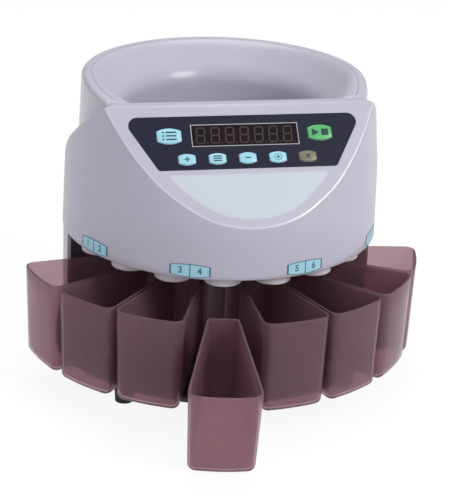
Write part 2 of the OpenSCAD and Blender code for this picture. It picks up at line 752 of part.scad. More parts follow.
// Gear outline: straight-flanked teeth with room to run, first tooth centred on +Y.
module gear_outline(n, r) {
  m = gear_module;
  p = 360 / n;
  polygon([for (i = [0 : n - 1]) for (q = [[-0.33, -1.15], [-0.21, 0], [-0.10, 0.85],
      [0.10, 0.85], [0.21, 0], [0.33, -1.15]])
    let (a = 90 - (i + q[0]) * p, d = r + q[1] * m) [d * cos(a), d * sin(a)]]);
}
module drive_gear() {
  color([0.85, 0.83, 0.76]) on_axis() translate([0, 0, gear_z]) difference() {
    union() {
      linear_extrude(gear_h) gear_outline(gear_teeth, gear_r);
      translate([0, 0, -2]) cylinder(r = 11, h = 2 + eps);
    }
    translate([0, 0, -3]) cylinder(r = shaft_r, h = gear_h + 4);
  }
}
module motor_pinion() {
  color([0.72, 0.58, 0.28]) on_axis() translate([0, motor_y, 0]) {
    translate([0, 0, gear_z - 0.5]) rotate([0, 0, 180 / pinion_teeth])
      linear_extrude(gear_h + 1) rotate([0, 0, 180]) gear_outline(pinion_teeth, pinion_r);
    translate([0, 0, bracket_z - 12]) cylinder(r = 2.5, h = gear_z - bracket_z + 13);
  }
}
module motor_bracket() {
  color([0.66, 0.67, 0.69]) on_axis() translate([0, 0, bracket_z]) difference() {
    cylinder(r = core_r - core_wall, h = bracket_t);
    translate([0, 0, -1]) cylinder(r = 9, h = bracket_t + 2);
    translate([0, motor_y, -1]) cylinder(r = 6, h = bracket_t + 2);
    for (s = [-1, 1]) translate([s * screw_x, motor_y, -1]) cylinder(r = 1.5, h = bracket_t + 2);
  }
}
module motor() {
  color([0.5, 0.51, 0.53]) on_axis() translate([0, motor_y, bracket_z - motor_h]) difference() {
    union() {
      translate([0, 0, 6]) cylinder(r = motor_r, h = motor_h - 6);
      cylinder(r = motor_r - 5, h = 7);
    }
    translate([0, 0, motor_h - 14]) cylinder(r = 2.5 + pin_gap, h = 15);
    for (s = [-1, 1]) translate([s * screw_x, 0, motor_h - 6]) cylinder(r = 1.5, h = 7);
  }
}
module motor_screws() {
  color([0.62, 0.62, 0.64]) on_axis() for (s = [-1, 1])
    translate([s * screw_x, motor_y, bracket_z + bracket_t]) {
      cylinder(r = 2.7, h = 1.8);
      translate([0, 0, -bracket_t - 5]) cylinder(r = 1.5, h = bracket_t + 5 + eps);
    }
}

// Mains transformer and supply board on the base, between the column and the rear wall.
module transformer() {
  w = 0.365 * rear_r;
  d = 0.7 * rear_room;
  color([0.35, 0.34, 0.33]) on_axis() translate([-0.35 * rear_r, core_r + rear_room / 2 - 6, floor_z]) {
    translate([-w / 2, -0.37 * d, 0]) cube([w, 0.74 * d, 0.85 * w]);
    translate([-w / 3, -d / 2, 0.12 * w]) cube([w * 2 / 3, d, 0.61 * w]);
  }
}
module power_board() {
  w = 0.365 * rear_r;
  d = 0.62 * rear_room;
  color([0.06, 0.30, 0.15]) on_axis() translate([0.335 * rear_r, core_r + rear_room / 2 - 5, floor_z]) {
    for (x = [-1, 1]) for (y = [-1, 1])
      translate([x * (w / 2 - 4), y * (d / 2 - 4), 0]) cylinder(r = 3, h = 8);
    translate([-w / 2, -d / 2, 8 - eps]) cube([w, d, 1.6]);
    for (x = [-0.22, 0.08]) translate([x * w, -d / 5, 9]) cylinder(r = d / 7, h = 0.4 * w);
    translate([-w / 3, d / 8, 9]) cube([0.55 * w, 0.28 * d, 0.28 * w]);
  }
}
// Mains inlet: flanged block in the rear face with a socket and three pins.
module power_inlet() {
  color([0.06, 0.06, 0.065]) on_axis() translate([inlet_x, rear_flat, inlet_z]) difference() {
    union() {
      translate([-inlet_w / 2 - 2, 0, -inlet_h / 2 - 2]) cube([inlet_w + 4, 2.5, inlet_h + 4]);
      translate([-inlet_w / 2, -20, -inlet_h / 2]) cube([inlet_w, 20 + eps, inlet_h]);
    }
    difference() {
      translate([1.5 - inlet_w / 2, -14, 1.5 - inlet_h / 2])
        cube([inlet_w - 3, far, inlet_h - 3]);
      for (x = [-7, 0, 7]) translate([x - 1, -15, x == 0 ? 0 : -4]) cube([2, 12, 4]);
    }
  }
}
module rocker_frame() {
  color([0.06, 0.06, 0.065]) on_axis() translate([-inlet_x, rear_flat, inlet_z]) difference() {
    union() {
      translate([-rocker_w / 2 - 2, 0, -rocker_h / 2 - 2]) cube([rocker_w + 4, 2, rocker_h + 4]);
      translate([-rocker_w / 2, -16, -rocker_h / 2]) cube([rocker_w, 16 + eps, rocker_h]);
    }
    translate([2.5 - rocker_w / 2, -12, 1.5 - rocker_h / 2])
      cube([rocker_w - 5, far, rocker_h - 3]);
    translate([0, -2.5, 0]) rotate([0, 90, 0])
      translate([0, 0, 1 - rocker_w / 2]) cylinder(r = 1.2 + pin_gap, h = rocker_w - 2);
  }
}
// Rocker: round-backed paddle on two short pins, tilted to its off side.
module rocker_switch() {
  color([0.12, 0.12, 0.13]) on_axis() translate([-inlet_x, rear_flat - 2.5, inlet_z])
    rotate([8, 0, 0]) {
      intersection() {
        translate([2.5 - rocker_w / 2 + run_gap, 0, 0]) rotate([0, 90, 0])
          cylinder(r = rocker_h / 2 - 1.9, h = rocker_w - 5 - 2 * run_gap);
        translate([-10, -6, -6]) cube([20, 10, 12]);
      }
      rotate([0, 90, 0]) translate([0, 0, 1.5 - rocker_w / 2]) cylinder(r = 1.2, h = rocker_w - 3);
    }
}

// Drawer outline inset by i: straight tail, sloping sides, round front, round corners.
module drawer_outline(i) {
  half = drawer_pitch / 2;
  r = drawer_corner - i;
  big = drawer_r - i;
  side = drawer_gap / 2 + i;
  // the corner's centre lies r inside the side and r inside the front
  ca = half - asin((side + r) / (big - r));
  cx = (big - r) * sin(ca);
  cy = (big - r) * cos(ca);
  tx = cx + r * cos(half);
  ty = cy - r * sin(half);
  tail = drawer_tail + i;
  ex = tx - (ty - tail) * tan(half);
  polygon([[-ex, -tail], [-tx, -ty], [-cx, -cy], [cx, -cy], [tx, -ty], [ex, -tail]]);
  for (s = [-1, 1]) translate([s * cx, -cy]) circle(r = r);
  intersection() {
    circle(r = big);
    polygon([[-cx, -cy], [-cx * 1.5, -cy * 1.5], [cx * 1.5, -cy * 1.5], [cx, -cy]]);
  }
}
// Solid of that outline from z0 up, with its bottom edges cut at 45 degrees by c.
module drawer_solid(i, z0, z1, c) {
  half = drawer_pitch / 2;
  side = drawer_gap / 2 + i;
  difference() {
    translate([0, 0, z0]) linear_extrude(z1 - z0) drawer_outline(i);
    for (s = [-1, 1]) rotate([0, 0, s * half]) translate([-s * side, 0, z0])
      rotate([90, 0, 0]) linear_extrude(far / 2)
        polygon([[-s * (c + 2), -2], [s, c + 1], [s * (c + 10), c + 1], [s * (c + 10), -2]]);
    translate([0, 0, z0]) rotate_extrude()
      polygon([[drawer_r - i - c, 0], [drawer_r - i + 1, c + 1], [2 * drawer_r, c + 1],
        [2 * drawer_r, -1], [drawer_r - i - c - 1, -1]]);
  }
}
module drawer_tub() {
  w = drawer_wall;
  difference() {
    drawer_solid(0, drawer_z, drawer_z + drawer_h, drawer_chamfer);
    drawer_solid(w, drawer_z + w, drawer_z + drawer_h + 1, drawer_chamfer - 0.6 * w);
  }
}
smoke = [0.42, 0.31, 0.33, 0.6];
module drawer(i) { color(smoke) at_az(tubes[i] * drawer_pitch) drawer_tub(); }
module drawer_1() { drawer(0); }
module drawer_2() { drawer(1); }
module drawer_3() { drawer(2); }
// Drawn out over the lip, with its front edge on the surface below.
module drawer_4() {
  color(smoke) at_az(tubes[3] * drawer_pitch) translate([0, -lip_r, lip_z])
    rotate([tip, 0, 0]) translate([0, lip_r - drawn_out, -lip_z]) drawer_tub();
}
module drawer_5() { drawer(4); }
module drawer_6() { drawer(5); }
module drawer_7() { drawer(6); }
module drawer_8() { drawer(7); }

base_plate();
feet();
foot_screws();
core_column();
rear_housing();
case_shell();
hopper_collar();
hopper_bowl();
panel_overlay();
display_window();
display_module();
control_board();
key_switches();
board_screws();
start_key();
report_key();
add_key();
batch_key();
minus_key();
set_key();
clear_key();
drawer_labels();
deck_plate();
deck_screws();
sorting_ring();
gate_plates();
track_rail();
coin_tube_1();
coin_tube_2();
coin_tube_3();
coin_tube_4();
coin_tube_5();
coin_tube_6();
coin_tube_7();
coin_tube_8();
coin_sensors();
turntable();
centre_cap();
turntable_shaft();
main_bearings();
drive_gear();
motor_bracket();
motor();
motor_screws();
motor_pinion();
transformer();
power_board();
power_inlet();
rocker_frame();
rocker_switch();
drawer_1();
drawer_2();
drawer_3();
drawer_4();
drawer_5();
drawer_6();
drawer_7();
drawer_8();
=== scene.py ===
import math
import bpy
import bmesh
from mathutils import Matrix, Vector


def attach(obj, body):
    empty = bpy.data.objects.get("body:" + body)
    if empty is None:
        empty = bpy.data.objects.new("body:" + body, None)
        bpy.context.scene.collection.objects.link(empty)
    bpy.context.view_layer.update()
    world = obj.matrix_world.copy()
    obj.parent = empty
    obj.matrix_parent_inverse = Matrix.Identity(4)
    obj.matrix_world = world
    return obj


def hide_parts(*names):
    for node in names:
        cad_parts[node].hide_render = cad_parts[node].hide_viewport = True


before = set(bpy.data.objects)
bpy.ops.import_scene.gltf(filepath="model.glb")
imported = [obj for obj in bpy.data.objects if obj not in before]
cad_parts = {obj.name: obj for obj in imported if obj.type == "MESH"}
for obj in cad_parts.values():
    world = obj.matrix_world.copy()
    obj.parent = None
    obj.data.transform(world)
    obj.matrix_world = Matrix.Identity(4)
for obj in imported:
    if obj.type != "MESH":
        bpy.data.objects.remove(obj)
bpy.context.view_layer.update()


# Base plate: thin black disc under the whole machine, with low ribs between the bays.
# Moulded plastic with a fine grain; everything else stands on it or is screwed to it.
def skin_group():
    """Grain of moulded plastic: mottled colour, uneven roughness and a fine bump."""
    tree = bpy.data.node_groups.new("moulded_grain", "ShaderNodeTree")
    face = tree.interface
    for name, kind, value in (("Colour", "NodeSocketColor", (0.5, 0.5, 0.5, 1)),
                              ("Mottle", "NodeSocketColor", (0.45, 0.45, 0.45, 1)),
                              ("Grain", "NodeSocketFloat", 900.0), ("Depth", "NodeSocketFloat", 0.00012),
                              ("Rough", "NodeSocketFloat", 0.45), ("Spread", "NodeSocketFloat", 0.12)):
        face.new_socket(name, in_out="INPUT", socket_type=kind).default_value = value
    for name, kind in (("Colour", "NodeSocketColor"), ("Roughness", "NodeSocketFloat"),
                       ("Normal", "NodeSocketVector")):
        face.new_socket(name, in_out="OUTPUT", socket_type=kind)
    add, link = tree.nodes.new, tree.links.new
    give, take = add("NodeGroupInput"), add("NodeGroupOutput")
    place = add("ShaderNodeTexCoord")
    fine, broad = add("ShaderNodeTexNoise"), add("ShaderNodeTexNoise")
    fine.inputs["Detail"].default_value = 3
    broad.inputs["Scale"].default_value = 11
    broad.inputs["Detail"].default_value = 4
    link(place.outputs["Object"], fine.inputs["Vector"])
    link(place.outputs["Object"], broad.inputs["Vector"])
    link(give.outputs["Grain"], fine.inputs["Scale"])
    spread = add("ShaderNodeMapRange")
    spread.inputs["From Min"].default_value = 0.35
    spread.inputs["From Max"].default_value = 0.68
    link(broad.outputs["Fac"], spread.inputs["Value"])
    mix = add("ShaderNodeMix")
    mix.data_type = "RGBA"
    link(spread.outputs["Result"], mix.inputs["Factor"])
    link(give.outputs["Colour"], mix.inputs[6])
    link(give.outputs["Mottle"], mix.inputs[7])
    link(mix.outputs[2], take.inputs["Colour"])
    offset = add("ShaderNodeMath")
    offset.operation = "SUBTRACT"
    offset.inputs[1].default_value = 0.5
    link(fine.outputs["Fac"], offset.inputs[0])
    rough = add("ShaderNodeMath")
    rough.operation = "MULTIPLY_ADD"
    link(offset.outputs[0], rough.inputs[0])
    link(give.outputs["Spread"], rough.inputs[1])
    link(give.outputs["Rough"], rough.inputs[2])
    link(rough.outputs[0], take.inputs["Roughness"])
    bump = add("ShaderNodeBump")
    bump.inputs["Strength"].default_value = 0.6
    link(give.outputs["Depth"], bump.inputs["Distance"])
    link(fine.outputs["Fac"], bump.inputs["Height"])
    link(bump.outputs["Normal"], take.inputs["Normal"])
    return tree


moulded_grain = skin_group()


def moulded(name, colour, mottle, grain=900.0, depth=0.00012, rough=0.45, spread=0.12, **fixed):
    """A plastic, rubber or painted finish from the shared grain, with fixed sockets by name."""
    material = bpy.data.materials.new(name)
    material.use_nodes = True
    nodes, link = material.node_tree.nodes, material.node_tree.links.new
    shader = nodes["Principled BSDF"]
    skin = nodes.new("ShaderNodeGroup")
    skin.node_tree = moulded_grain
    for socket, value in (("Colour", (*colour, 1)), ("Mottle", (*mottle, 1)), ("Grain", grain),
                          ("Depth", depth), ("Rough", rough), ("Spread", spread)):
        skin.inputs[socket].default_value = value
    link(skin.outputs["Colour"], shader.inputs["Base Color"])
    link(skin.outputs["Roughness"], shader.inputs["Roughness"])
    link(skin.outputs["Normal"], shader.inputs["Normal"])
    for socket, value in fixed.items():
        shader.inputs[socket.replace("_", " ")].default_value = value
    return material


def paint(material, *names):
    """Gives CAD nodes a material."""
    for name in names:
        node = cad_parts[name]
        if not node.material_slots:
            node.data.materials.append(material)
        for place in node.material_slots:
            place.material = material


black_moulding = moulded("black_moulding", (0.012, 0.012, 0.013), (0.018, 0.018, 0.019), rough=0.5)
paint(black_moulding, "base_plate")

# Feet: four tapered rubber pads with a cross-head screw in each, driven up into the base.
# The rubber is matt and dusty, the screws are zinc plated.
foot_rubber = moulded("foot_rubber", (0.02, 0.02, 0.02), (0.035, 0.034, 0.033), 1500, 0.0002, 0.8, 0.15)
zinc_plate = moulded("zinc_plate", (0.50, 0.51, 0.53), (0.42, 0.43, 0.45), 600, 0.00004, 0.32, 0.25,
                     Metallic=1.0)
paint(foot_rubber, "feet")
paint(zinc_plate, "foot_screws", "board_screws", "deck_screws", "motor_screws")

# Core column: dark smoky tube in the middle that carries the deck, with upright ribs outside.
# Moulded in the drawers' smoky plastic but thicker; the ribs are part of the moulding.
AXIS_Y = 0.05883322
core_smoke = moulded("core_smoke", (0.135, 0.075, 0.092), (0.150, 0.085, 0.105), 500, 0.0001, 0.32, 0.15,
                     Coat_Weight=0.15)
paint(core_smoke, "core_column")


def ring_of_ribs():
    """Geometry Nodes tree: upright half-round ribs spaced evenly round a circle."""
    tree = bpy.data.node_groups.new("column_ribs", "GeometryNodeTree")
    face = tree.interface
    for name, kind, value in (("Count", "NodeSocketInt", 24),
                              ("Ring radius", "NodeSocketFloat", 0.068),
                              ("Rib radius", "NodeSocketFloat", 0.0016),
                              ("Height", "NodeSocketFloat", 0.12),
                              ("Foot", "NodeSocketVector", (0, 0, 0)),
                              ("Finish", "NodeSocketMaterial", None)):
        socket = face.new_socket(name, in_out="INPUT", socket_type=kind)
        if value is not None:
            socket.default_value = value
    face.new_socket("Ribs", in_out="OUTPUT", socket_type="NodeSocketGeometry")
    add, link = tree.nodes.new, tree.links.new
    give, take = add("NodeGroupInput"), add("NodeGroupOutput")
    ring = add("GeometryNodeMeshCircle")
    link(give.outputs["Count"], ring.inputs["Vertices"])
    link(give.outputs["Ring radius"], ring.inputs["Radius"])
    rib = add("GeometryNodeMeshCylinder")
    rib.inputs["Vertices"].default_value = 12
    link(give.outputs["Rib radius"], rib.inputs["Radius"])
    link(give.outputs["Height"], rib.inputs["Depth"])
    put = add("GeometryNodeInstanceOnPoints")
    link(ring.outputs["Mesh"], put.inputs["Points"])
    link(rib.outputs["Mesh"], put.inputs["Instance"])
    move = add("GeometryNodeTransform")
    link(put.outputs["Instances"], move.inputs["Geometry"])
    link(give.outputs["Foot"], move.inputs["Translation"])
    real, coat = add("GeometryNodeRealizeInstances"), add("GeometryNodeSetMaterial")
    link(move.outputs["Geometry"], real.inputs["Geometry"])
    link(real.outputs["Geometry"], coat.inputs["Geometry"])
    link(give.outputs["Finish"], coat.inputs["Material"])
    link(coat.outputs["Geometry"], take.inputs["Ribs"])
    return tree


def set_up(name, mesh, body, replaced=()):
    """A piece at the origin from a finished mesh, riding on a body and standing for CAD nodes."""
    piece = bpy.data.objects.new(name, mesh)
    bpy.context.scene.collection.objects.link(piece)
    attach(piece, body)
    if replaced:
        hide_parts(*replaced)
    return piece


def grown(name, tree, body, **sizes):
    """Runs a Geometry Nodes tree and keeps the result as a plain mesh riding on a body."""
    seed = bpy.data.objects.new(name + "_seed", bpy.data.meshes.new(name + "_seed"))
    bpy.context.scene.collection.objects.link(seed)
    run = seed.modifiers.new("grow", "NODES")
    run.node_group = tree
    for item in tree.interface.items_tree:
        key = item.name.replace(" ", "_")
        if item.in_out == "INPUT" and key in sizes:
            run[item.identifier] = sizes[key]
    shown = seed.evaluated_get(bpy.context.evaluated_depsgraph_get())
    mesh = bpy.data.meshes.new_from_object(shown)
    seed.modifiers.remove(run)
    bpy.data.objects.remove(seed)
    return set_up(name, mesh, body)


ribs = grown("column_ribs", ring_of_ribs(), "machine", Count=26, Ring_radius=0.0676, Rib_radius=0.0016,
             Height=0.126, Foot=(0, AXIS_Y, 0.086), Finish=core_smoke)

# Rear housing: light grey box that closes the back between the base and the case.
# Moulded in the case's plastic with a flat face and upright vents, screwed up from the base.
case_plastic = moulded("case_plastic", (0.525, 0.51, 0.605), (0.51, 0.495, 0.59), 1100, 0.00008, 0.38, 0.12,
                       Coat_Weight=0.06)
paint(case_plastic, "rear_housing")

# Mains inlet and rocker switch: black moulded fittings snapped into the flat rear face.
# The inlet holds three pins, the rocker turns on two short pins in its frame.
fitting_black = moulded("fitting_black", (0.015, 0.015, 0.016), (0.022, 0.022, 0.023), 1300, 0.00006,
                        0.38, 0.1)
paint(fitting_black, "power_inlet", "rocker_frame", "rocker_switch")

# Transformer and supply board: wound iron core and a green board on the base inside the back.
# Both stand on the base plate and are never seen with the housing in place.
core_iron = moulded("core_iron", (0.10, 0.09, 0.085), (0.14, 0.12, 0.10), 700, 0.0002, 0.55, 0.2,
                    Metallic=0.5)
board_green = moulded("board_green", (0.010, 0.075, 0.030), (0.014, 0.095, 0.040), 400, 0.00005, 0.35, 0.15)
paint(core_iron, "transformer")
paint(board_green, "power_board", "control_board")

# Drive: motor on its bracket inside the column, brass pinion, plastic gear, steel shaft in bearings.
# The pinion turns the large gear under the deck, and the shaft carries the turntable.
drive_steel = moulded("drive_steel", (0.52, 0.53, 0.55), (0.46, 0.47, 0.49), 500, 0.00003, 0.26, 0.2,
                      Metallic=1.0)
gear_nylon = moulded("gear_nylon", (0.68, 0.65, 0.56), (0.62, 0.59, 0.50), 900, 0.00008, 0.5, 0.1)
pinion_brass = moulded("pinion_brass", (0.55, 0.38, 0.12), (0.48, 0.33, 0.10), 600, 0.00003, 0.3, 0.2,
                       Metallic=1.0)
paint(drive_steel, "turntable_shaft", "main_bearings", "motor")
paint(zinc_plate, "motor_bracket", "deck_plate")
paint(gear_nylon, "drive_gear")
paint(pinion_brass, "motor_pinion")

# Sorting ring: flat stainless track with eight gate plates in front and a thin rail round it.
# The plates lie on the coin tubes, the rest of the ring on three pillars of the deck.
track_steel = moulded("track_steel", (0.60, 0.60, 0.61), (0.53, 0.53, 0.55), 350, 0.00003, 0.28, 0.3,
                      Metallic=1.0)
paint(track_steel, "sorting_ring", "gate_plates", "track_rail")
paint(fitting_black, "coin_sensors", "key_switches")

# Coin tubes: eight short light tubes that hang below the case over the drawers.
# Moulded plastic with a rolled lower lip, pushed up through the deck on a flange.
tube_plastic = moulded("tube_plastic", (0.66, 0.64, 0.69), (0.60, 0.58, 0.63), 1000, 0.00008, 0.4, 0.1)


def mesh_piece(name, points, faces, material, body, replaced=(), smooth=True):
    """A piece from points in metres and faces, with one material or a list of them."""
    mesh = bpy.data.meshes.new(name)
    mesh.from_pydata([tuple(p) for p in points], [], faces)
    mesh.validate()
    if smooth:
        mesh.polygons.foreach_set("use_smooth", [True] * len(mesh.polygons))
    for finish in material if isinstance(material, (list, tuple)) else [material]:
        mesh.materials.append(finish)
    mesh.update()
    return set_up(name, mesh, body, replaced)


def around(azimuth, radius, z):
    """A point in millimetres round the machine's axis, from the front and positive to +X."""
    a = math.radians(azimuth)
    return Vector((radius * math.sin(a) / 1000, AXIS_Y - radius * math.cos(a) / 1000, z / 1000))


def lathe(profile, count, closed=True):
    """Points and faces of an (r, z) profile turned about z; a closed one joins its ends."""
    points, faces = [], []
    n = len(profile)
    for i in range(count):
        a = 2 * math.pi * i / count
        points += [(r * math.cos(a), r * math.sin(a), z) for r, z in profile]
    for i in range(count):
        j = (i + 1) % count
        for k in range(n if closed else n - 1):
            m = (k + 1) % n
            faces.append((i * n + k, j * n + k, j * n + m, i * n + m))
    return points, faces


tube_profile = [(14.4, 170.0), (14.4, 122.0), (14.7, 120.6), (15.2, 120.0), (15.8, 120.0), (16.3, 120.4),
                (16.4, 121.2), (16.2, 122.0), (16.0, 122.6), (16.0, 152.9), (17.5, 153.0), (17.5, 155.0),
                (16.0, 155.1), (16.0, 170.0)]
TUBE_RING, DRAWER_PITCH = 120.5, 20.5
for number in range(1, 9):
    shape, skin = lathe(tube_profile, 48)
    foot = around((number - 4.5) * DRAWER_PITCH, TUBE_RING, 0)
    mesh_piece(f"coin_tube_{number}_shell", [foot + Vector(p) / 1000 for p in shape], skin, tube_plastic,
               "machine", [f"coin_tube_{number}"])

# Turntable: dark ribbed disc at the bottom of the hopper, turned by the drive below.
# Moulded on a hub that is fixed to the shaft; a cone-shaped cap covers the shaft's end.
table_plastic = moulded("table_plastic", (0.13, 0.13, 0.14), (0.17, 0.17, 0.18), 700, 0.00015, 0.38, 0.2)
cap_plastic = moulded("cap_plastic", (0.05, 0.05, 0.055), (0.07, 0.07, 0.075), 900, 0.0001, 0.35, 0.15)
paint(table_plastic, "turntable")
cap_profile = [(0.01, 174.0), (22.0, 174.0), (22.3, 174.4), (22.0, 175.2), (20.0, 178.0), (16.0, 182.0),
               (12.0, 185.0), (9.0, 186.0), (5.0, 186.2), (4.2, 185.6), (3.0, 185.2), (0.01, 185.2)]
shape, skin = lathe(cap_profile, 64, closed=False)
centre = around(0, 0, 0)
mesh_piece("centre_cap_shell", [centre + Vector(p) / 1000 for p in shape], skin, cap_plastic,
           "turntable_unit", ["centre_cap"])

# Case: round light grey moulding with the sloping key panel, a rounded ridge and the top lip.
# One shell, open below, screwed down to the deck; the labels, panel film and keys sit on it.
# Sizes are in millimetres, turns in degrees; a pair of values is where a soft step starts and ends.
TILT, SHOULDER_TILT = math.radians(48.2), math.radians(36)
PANEL_Y, PANEL_Z, LIP_Y, LEDGE_Z, SKIRT_Z = 67.0, 260.0, 56.2, 202.0, 128.0
SKIRT_R, SKIRT_DRAUGHT, CROWN_R, CROWN_DRAUGHT = 142.25, 0.02462, 135.5, 0.08497
FRONT_SWELL, SWELL_RISE, SWELL_FALL, SWELL_SIDE = 1.75, (140, 174), (196, 176), (55, 25)
CROWN_WAIST, WAIST_RISE, WAIST_FALL = 1.0, (194, 220), (262, 236)
CREST_ROUND, LEDGE_ROUND, LEDGE_TURN, RIDGE_ROUND = 1.6, 9.0, (78, 94), 1.2
SEAT_R, LIP_ENDS = 129.2, (117, 110)


def soft_min(a, b, k):
    """The smaller of two values, rounded off over a width k where they meet."""
    h = max(k - abs(a - b), 0) / k
    return min(a, b) - h * h * k / 4


def soft_step(value, start, end):
    """Smooth step from 0 where a value is at the start to 1 at the end."""
    t = min(max((value - start) / (end - start), 0), 1)
    return t * t * (3 - 2 * t)


def turned(azimuth):
    """Degrees from the front, the same on both sides."""
    return math.degrees(math.acos(math.cos(math.radians(azimuth))))


def wall_radius(z, azimuth):
    """Radius of the case's wall: a slight cone, fuller in front below the panel, and a slim crown."""
    cone = soft_min(SKIRT_R - SKIRT_DRAUGHT * (z - SKIRT_Z), CROWN_R + CROWN_DRAUGHT * (PANEL_Z - z), 1.5)
    swell = soft_step(z, *SWELL_RISE) * soft_step(z, *SWELL_FALL) * soft_step(turned(azimuth), *SWELL_SIDE)
    waist = soft_step(z, *WAIST_RISE) * soft_step(z, *WAIST_FALL)
    return cone + FRONT_SWELL * swell - CROWN_WAIST * waist


def top_height(x, y):
    """Height of the case's top: panel, flat lip in the middle, falling shoulders and ledge."""
    panel = PANEL_Z + (y + PANEL_Y) * math.tan(TILT)
    back = PANEL_Y + (LIP_Y - PANEL_Y) * soft_step(abs(x), *LIP_ENDS)
    fall = PANEL_Z - (y + back) * math.tan(SHOULDER_TILT)
    shoulder = -soft_min(-fall, -LEDGE_Z, LEDGE_ROUND)
    return soft_min(soft_min(panel, PANEL_Z, RIDGE_ROUND), shoulder, RIDGE_ROUND)


def top_at(azimuth, r):
    """Height of the case's top at an azimuth and a radius."""
    a = math.radians(azimuth)
    return top_height(r * math.sin(a), -r * math.cos(a))


def crest_height(azimuth):
    """Height at which the wall meets the panel, a shoulder or the ledge."""
    z = LEDGE_Z
    for _ in range(60):
        z = 0.5 * z + 0.5 * top_at(azimuth, wall_radius(z, azimuth))
    return z


def hopper_edge(azimuth):
    """Radius where the case's top ends at the hopper."""
    c = math.cos(math.radians(azimuth))
    return soft_min(SEAT_R, LIP_Y / c, 5) if c > 0.2 else SEAT_R


def case_profile(azimuth):
    """Section of the case at one azimuth: up the skirt and the wall, over the crest to the hopper."""
    c = math.cos(math.radians(azimuth))
    z = crest_height(azimuth)
    low, edge = SKIRT_Z, wall_radius(z, azimuth)
    r0 = wall_radius(low, azimuth)
    line = [(r0 - 2.5, low + 14), (r0 - 2.5, low + 1.0), (r0 - 2.0, low + 0.25), (r0 - 1.2, low),
            (r0 - 0.4, low + 0.25), (r0, low + 1.0)]
    round_by = CREST_ROUND + (LEDGE_ROUND - CREST_ROUND) * soft_step(turned(azimuth), *LEDGE_TURN)
    start, end = low + 1.0, z - round_by
    heights = [start + (end - start) * i / 14 for i in range(1, 15)]
    line += [(wall_radius(height, azimuth), height) for height in heights]
    inner = hopper_edge(azimuth)
    r1 = edge - min(round_by, 0.8 * (edge - inner))
    a, b = Vector((wall_radius(end, azimuth), end)), Vector((edge, z))
    d = Vector((r1, top_at(azimuth, r1)))
    for i in range(1, 9):
        t = i / 8
        line.append(tuple(a * (1 - t) ** 2 + b * 2 * t * (1 - t) + d * t * t))
    ridge = min(PANEL_Y / c, r1 - 0.4) if c > 0.3 else r1 - 0.4
    lip = min(LIP_Y / c, ridge - 0.4) if c > 0.3 else ridge - 0.4
    lip = max(lip, inner + 0.4)
    ridge = max(ridge, lip + 0.3)
    for first, last, parts in ((r1, ridge, 28), (ridge, lip, 8), (lip, inner, 10)):
        radii = [first + (last - first) * i / parts for i in range(1, parts + 1)]
        line += [(r, top_at(azimuth, r)) for r in radii]
    last = line[-1][1]
    line += [(inner - 0.5, last - 1.2), (inner - 0.7, last - 4), (inner - 0.7, last - 12)]
    return line


STEPS = 480


def swept(section):
    """Points and faces of a shell whose section changes with the azimuth, and its points per section."""
    points, faces = [], []
    for i in range(STEPS):
        azimuth = 360 * i / STEPS
        points += [around(azimuth, r, z) for r, z in section(azimuth)]
    n = len(points) // STEPS
    for i in range(STEPS):
        a, b = i * n, (i + 1) % STEPS * n
        faces += [(a + k, b + k, b + k + 1, a + k + 1) for k in range(n - 1)]
    return points, faces, n


points, faces, count = swept(case_profile)
# crest finish: its paler colour is a painted highlight line along the crest; its lower roughness and coat
# are real gloss
case_edge = moulded("case_edge", (0.70, 0.69, 0.76), (0.68, 0.67, 0.74), 1100, 0.00003, 0.2, 0.06,
                    Coat_Weight=0.3)
case = mesh_piece("case_outer", points, faces, [case_plastic, case_edge], "machine", ["case_shell"])
# the crest gets the lighter, glossier finish, whose pale colour is a painted highlight line: three strips
# of the section, round the panel and along the shoulders
CREST, SHOULDER_COS = (22, 23, 24), -0.1
for face in case.data.polygons:
    place = min(face.vertices)
    if place % count in CREST and math.cos(math.radians(360 * (place // count) / STEPS)) > SHOULDER_COS:
        face.material_index = 1

# Hopper: D-shaped funnel with a broad rounded rim and a fine groove round it.
# Moulded in the case's plastic; it stands on the case's ledge and ends over the turntable.
bowl_plastic = moulded("bowl_plastic", (0.54, 0.525, 0.61), (0.52, 0.505, 0.59), 1100, 0.00006, 0.30, 0.1,
                       Coat_Weight=0.15, Coat_Roughness=0.15)
COLLAR_R, COLLAR_DRAUGHT, FRONT_Y, BORE_R = 129.0, 2.25 / 63, 59.6, 118.2
RIM_R, RIM_Z, RIM_WIDTH = 126.75, 268.0, 8.5
SLOPE_Y, RIM_SLOPE, RIM_DROP, DROP_PLACE = 60.0, 0.1405, 5.0, (53.5, 58.0)
ROUND_R, ROUND_Z, THROAT_R, THROAT_Z = 3.8, 4.5, 84.0, 177.0


def rim_height(y):
    """Height of the rim over a line at y: level behind, falling to the panel's lip in front."""
    slope = PANEL_Z + (y + SLOPE_Y) * RIM_SLOPE
    return soft_min(slope, RIM_Z, 2.0) - RIM_DROP * soft_step(-y, *DROP_PLACE)


def bent(corners, count):
    """Points spaced evenly along an open line of corners (r, z, cut), each rounded over its cut."""
    line = [Vector(corners[0][:2])]
    for before, (r, z, size), after in zip(corners, corners[1:], corners[2:]):
        p = Vector((r, z))
        a, b = Vector(before[:2]) - p, Vector(after[:2]) - p
        a, b = a * min(1, size / a.length), b * min(1, size / b.length)
        line += [p + a * (1 - k / 8) ** 2 + b * (k / 8) * (k / 8) for k in range(9)]
    line.append(Vector(corners[-1][:2]))
    lengths = [0.0]
    for p, q in zip(line, line[1:]):
        lengths.append(lengths[-1] + (q - p).length)
    out, k = [], 0
    for i in range(count):
        goal = lengths[-1] * i / (count - 1)
        while k < len(line) - 2 and lengths[k + 1] < goal:
            k += 1
        part = (goal - lengths[k]) / max(lengths[k + 1] - lengths[k], 1e-9)
        out.append(line[k].lerp(line[k + 1], min(max(part, 0), 1)))
    return out


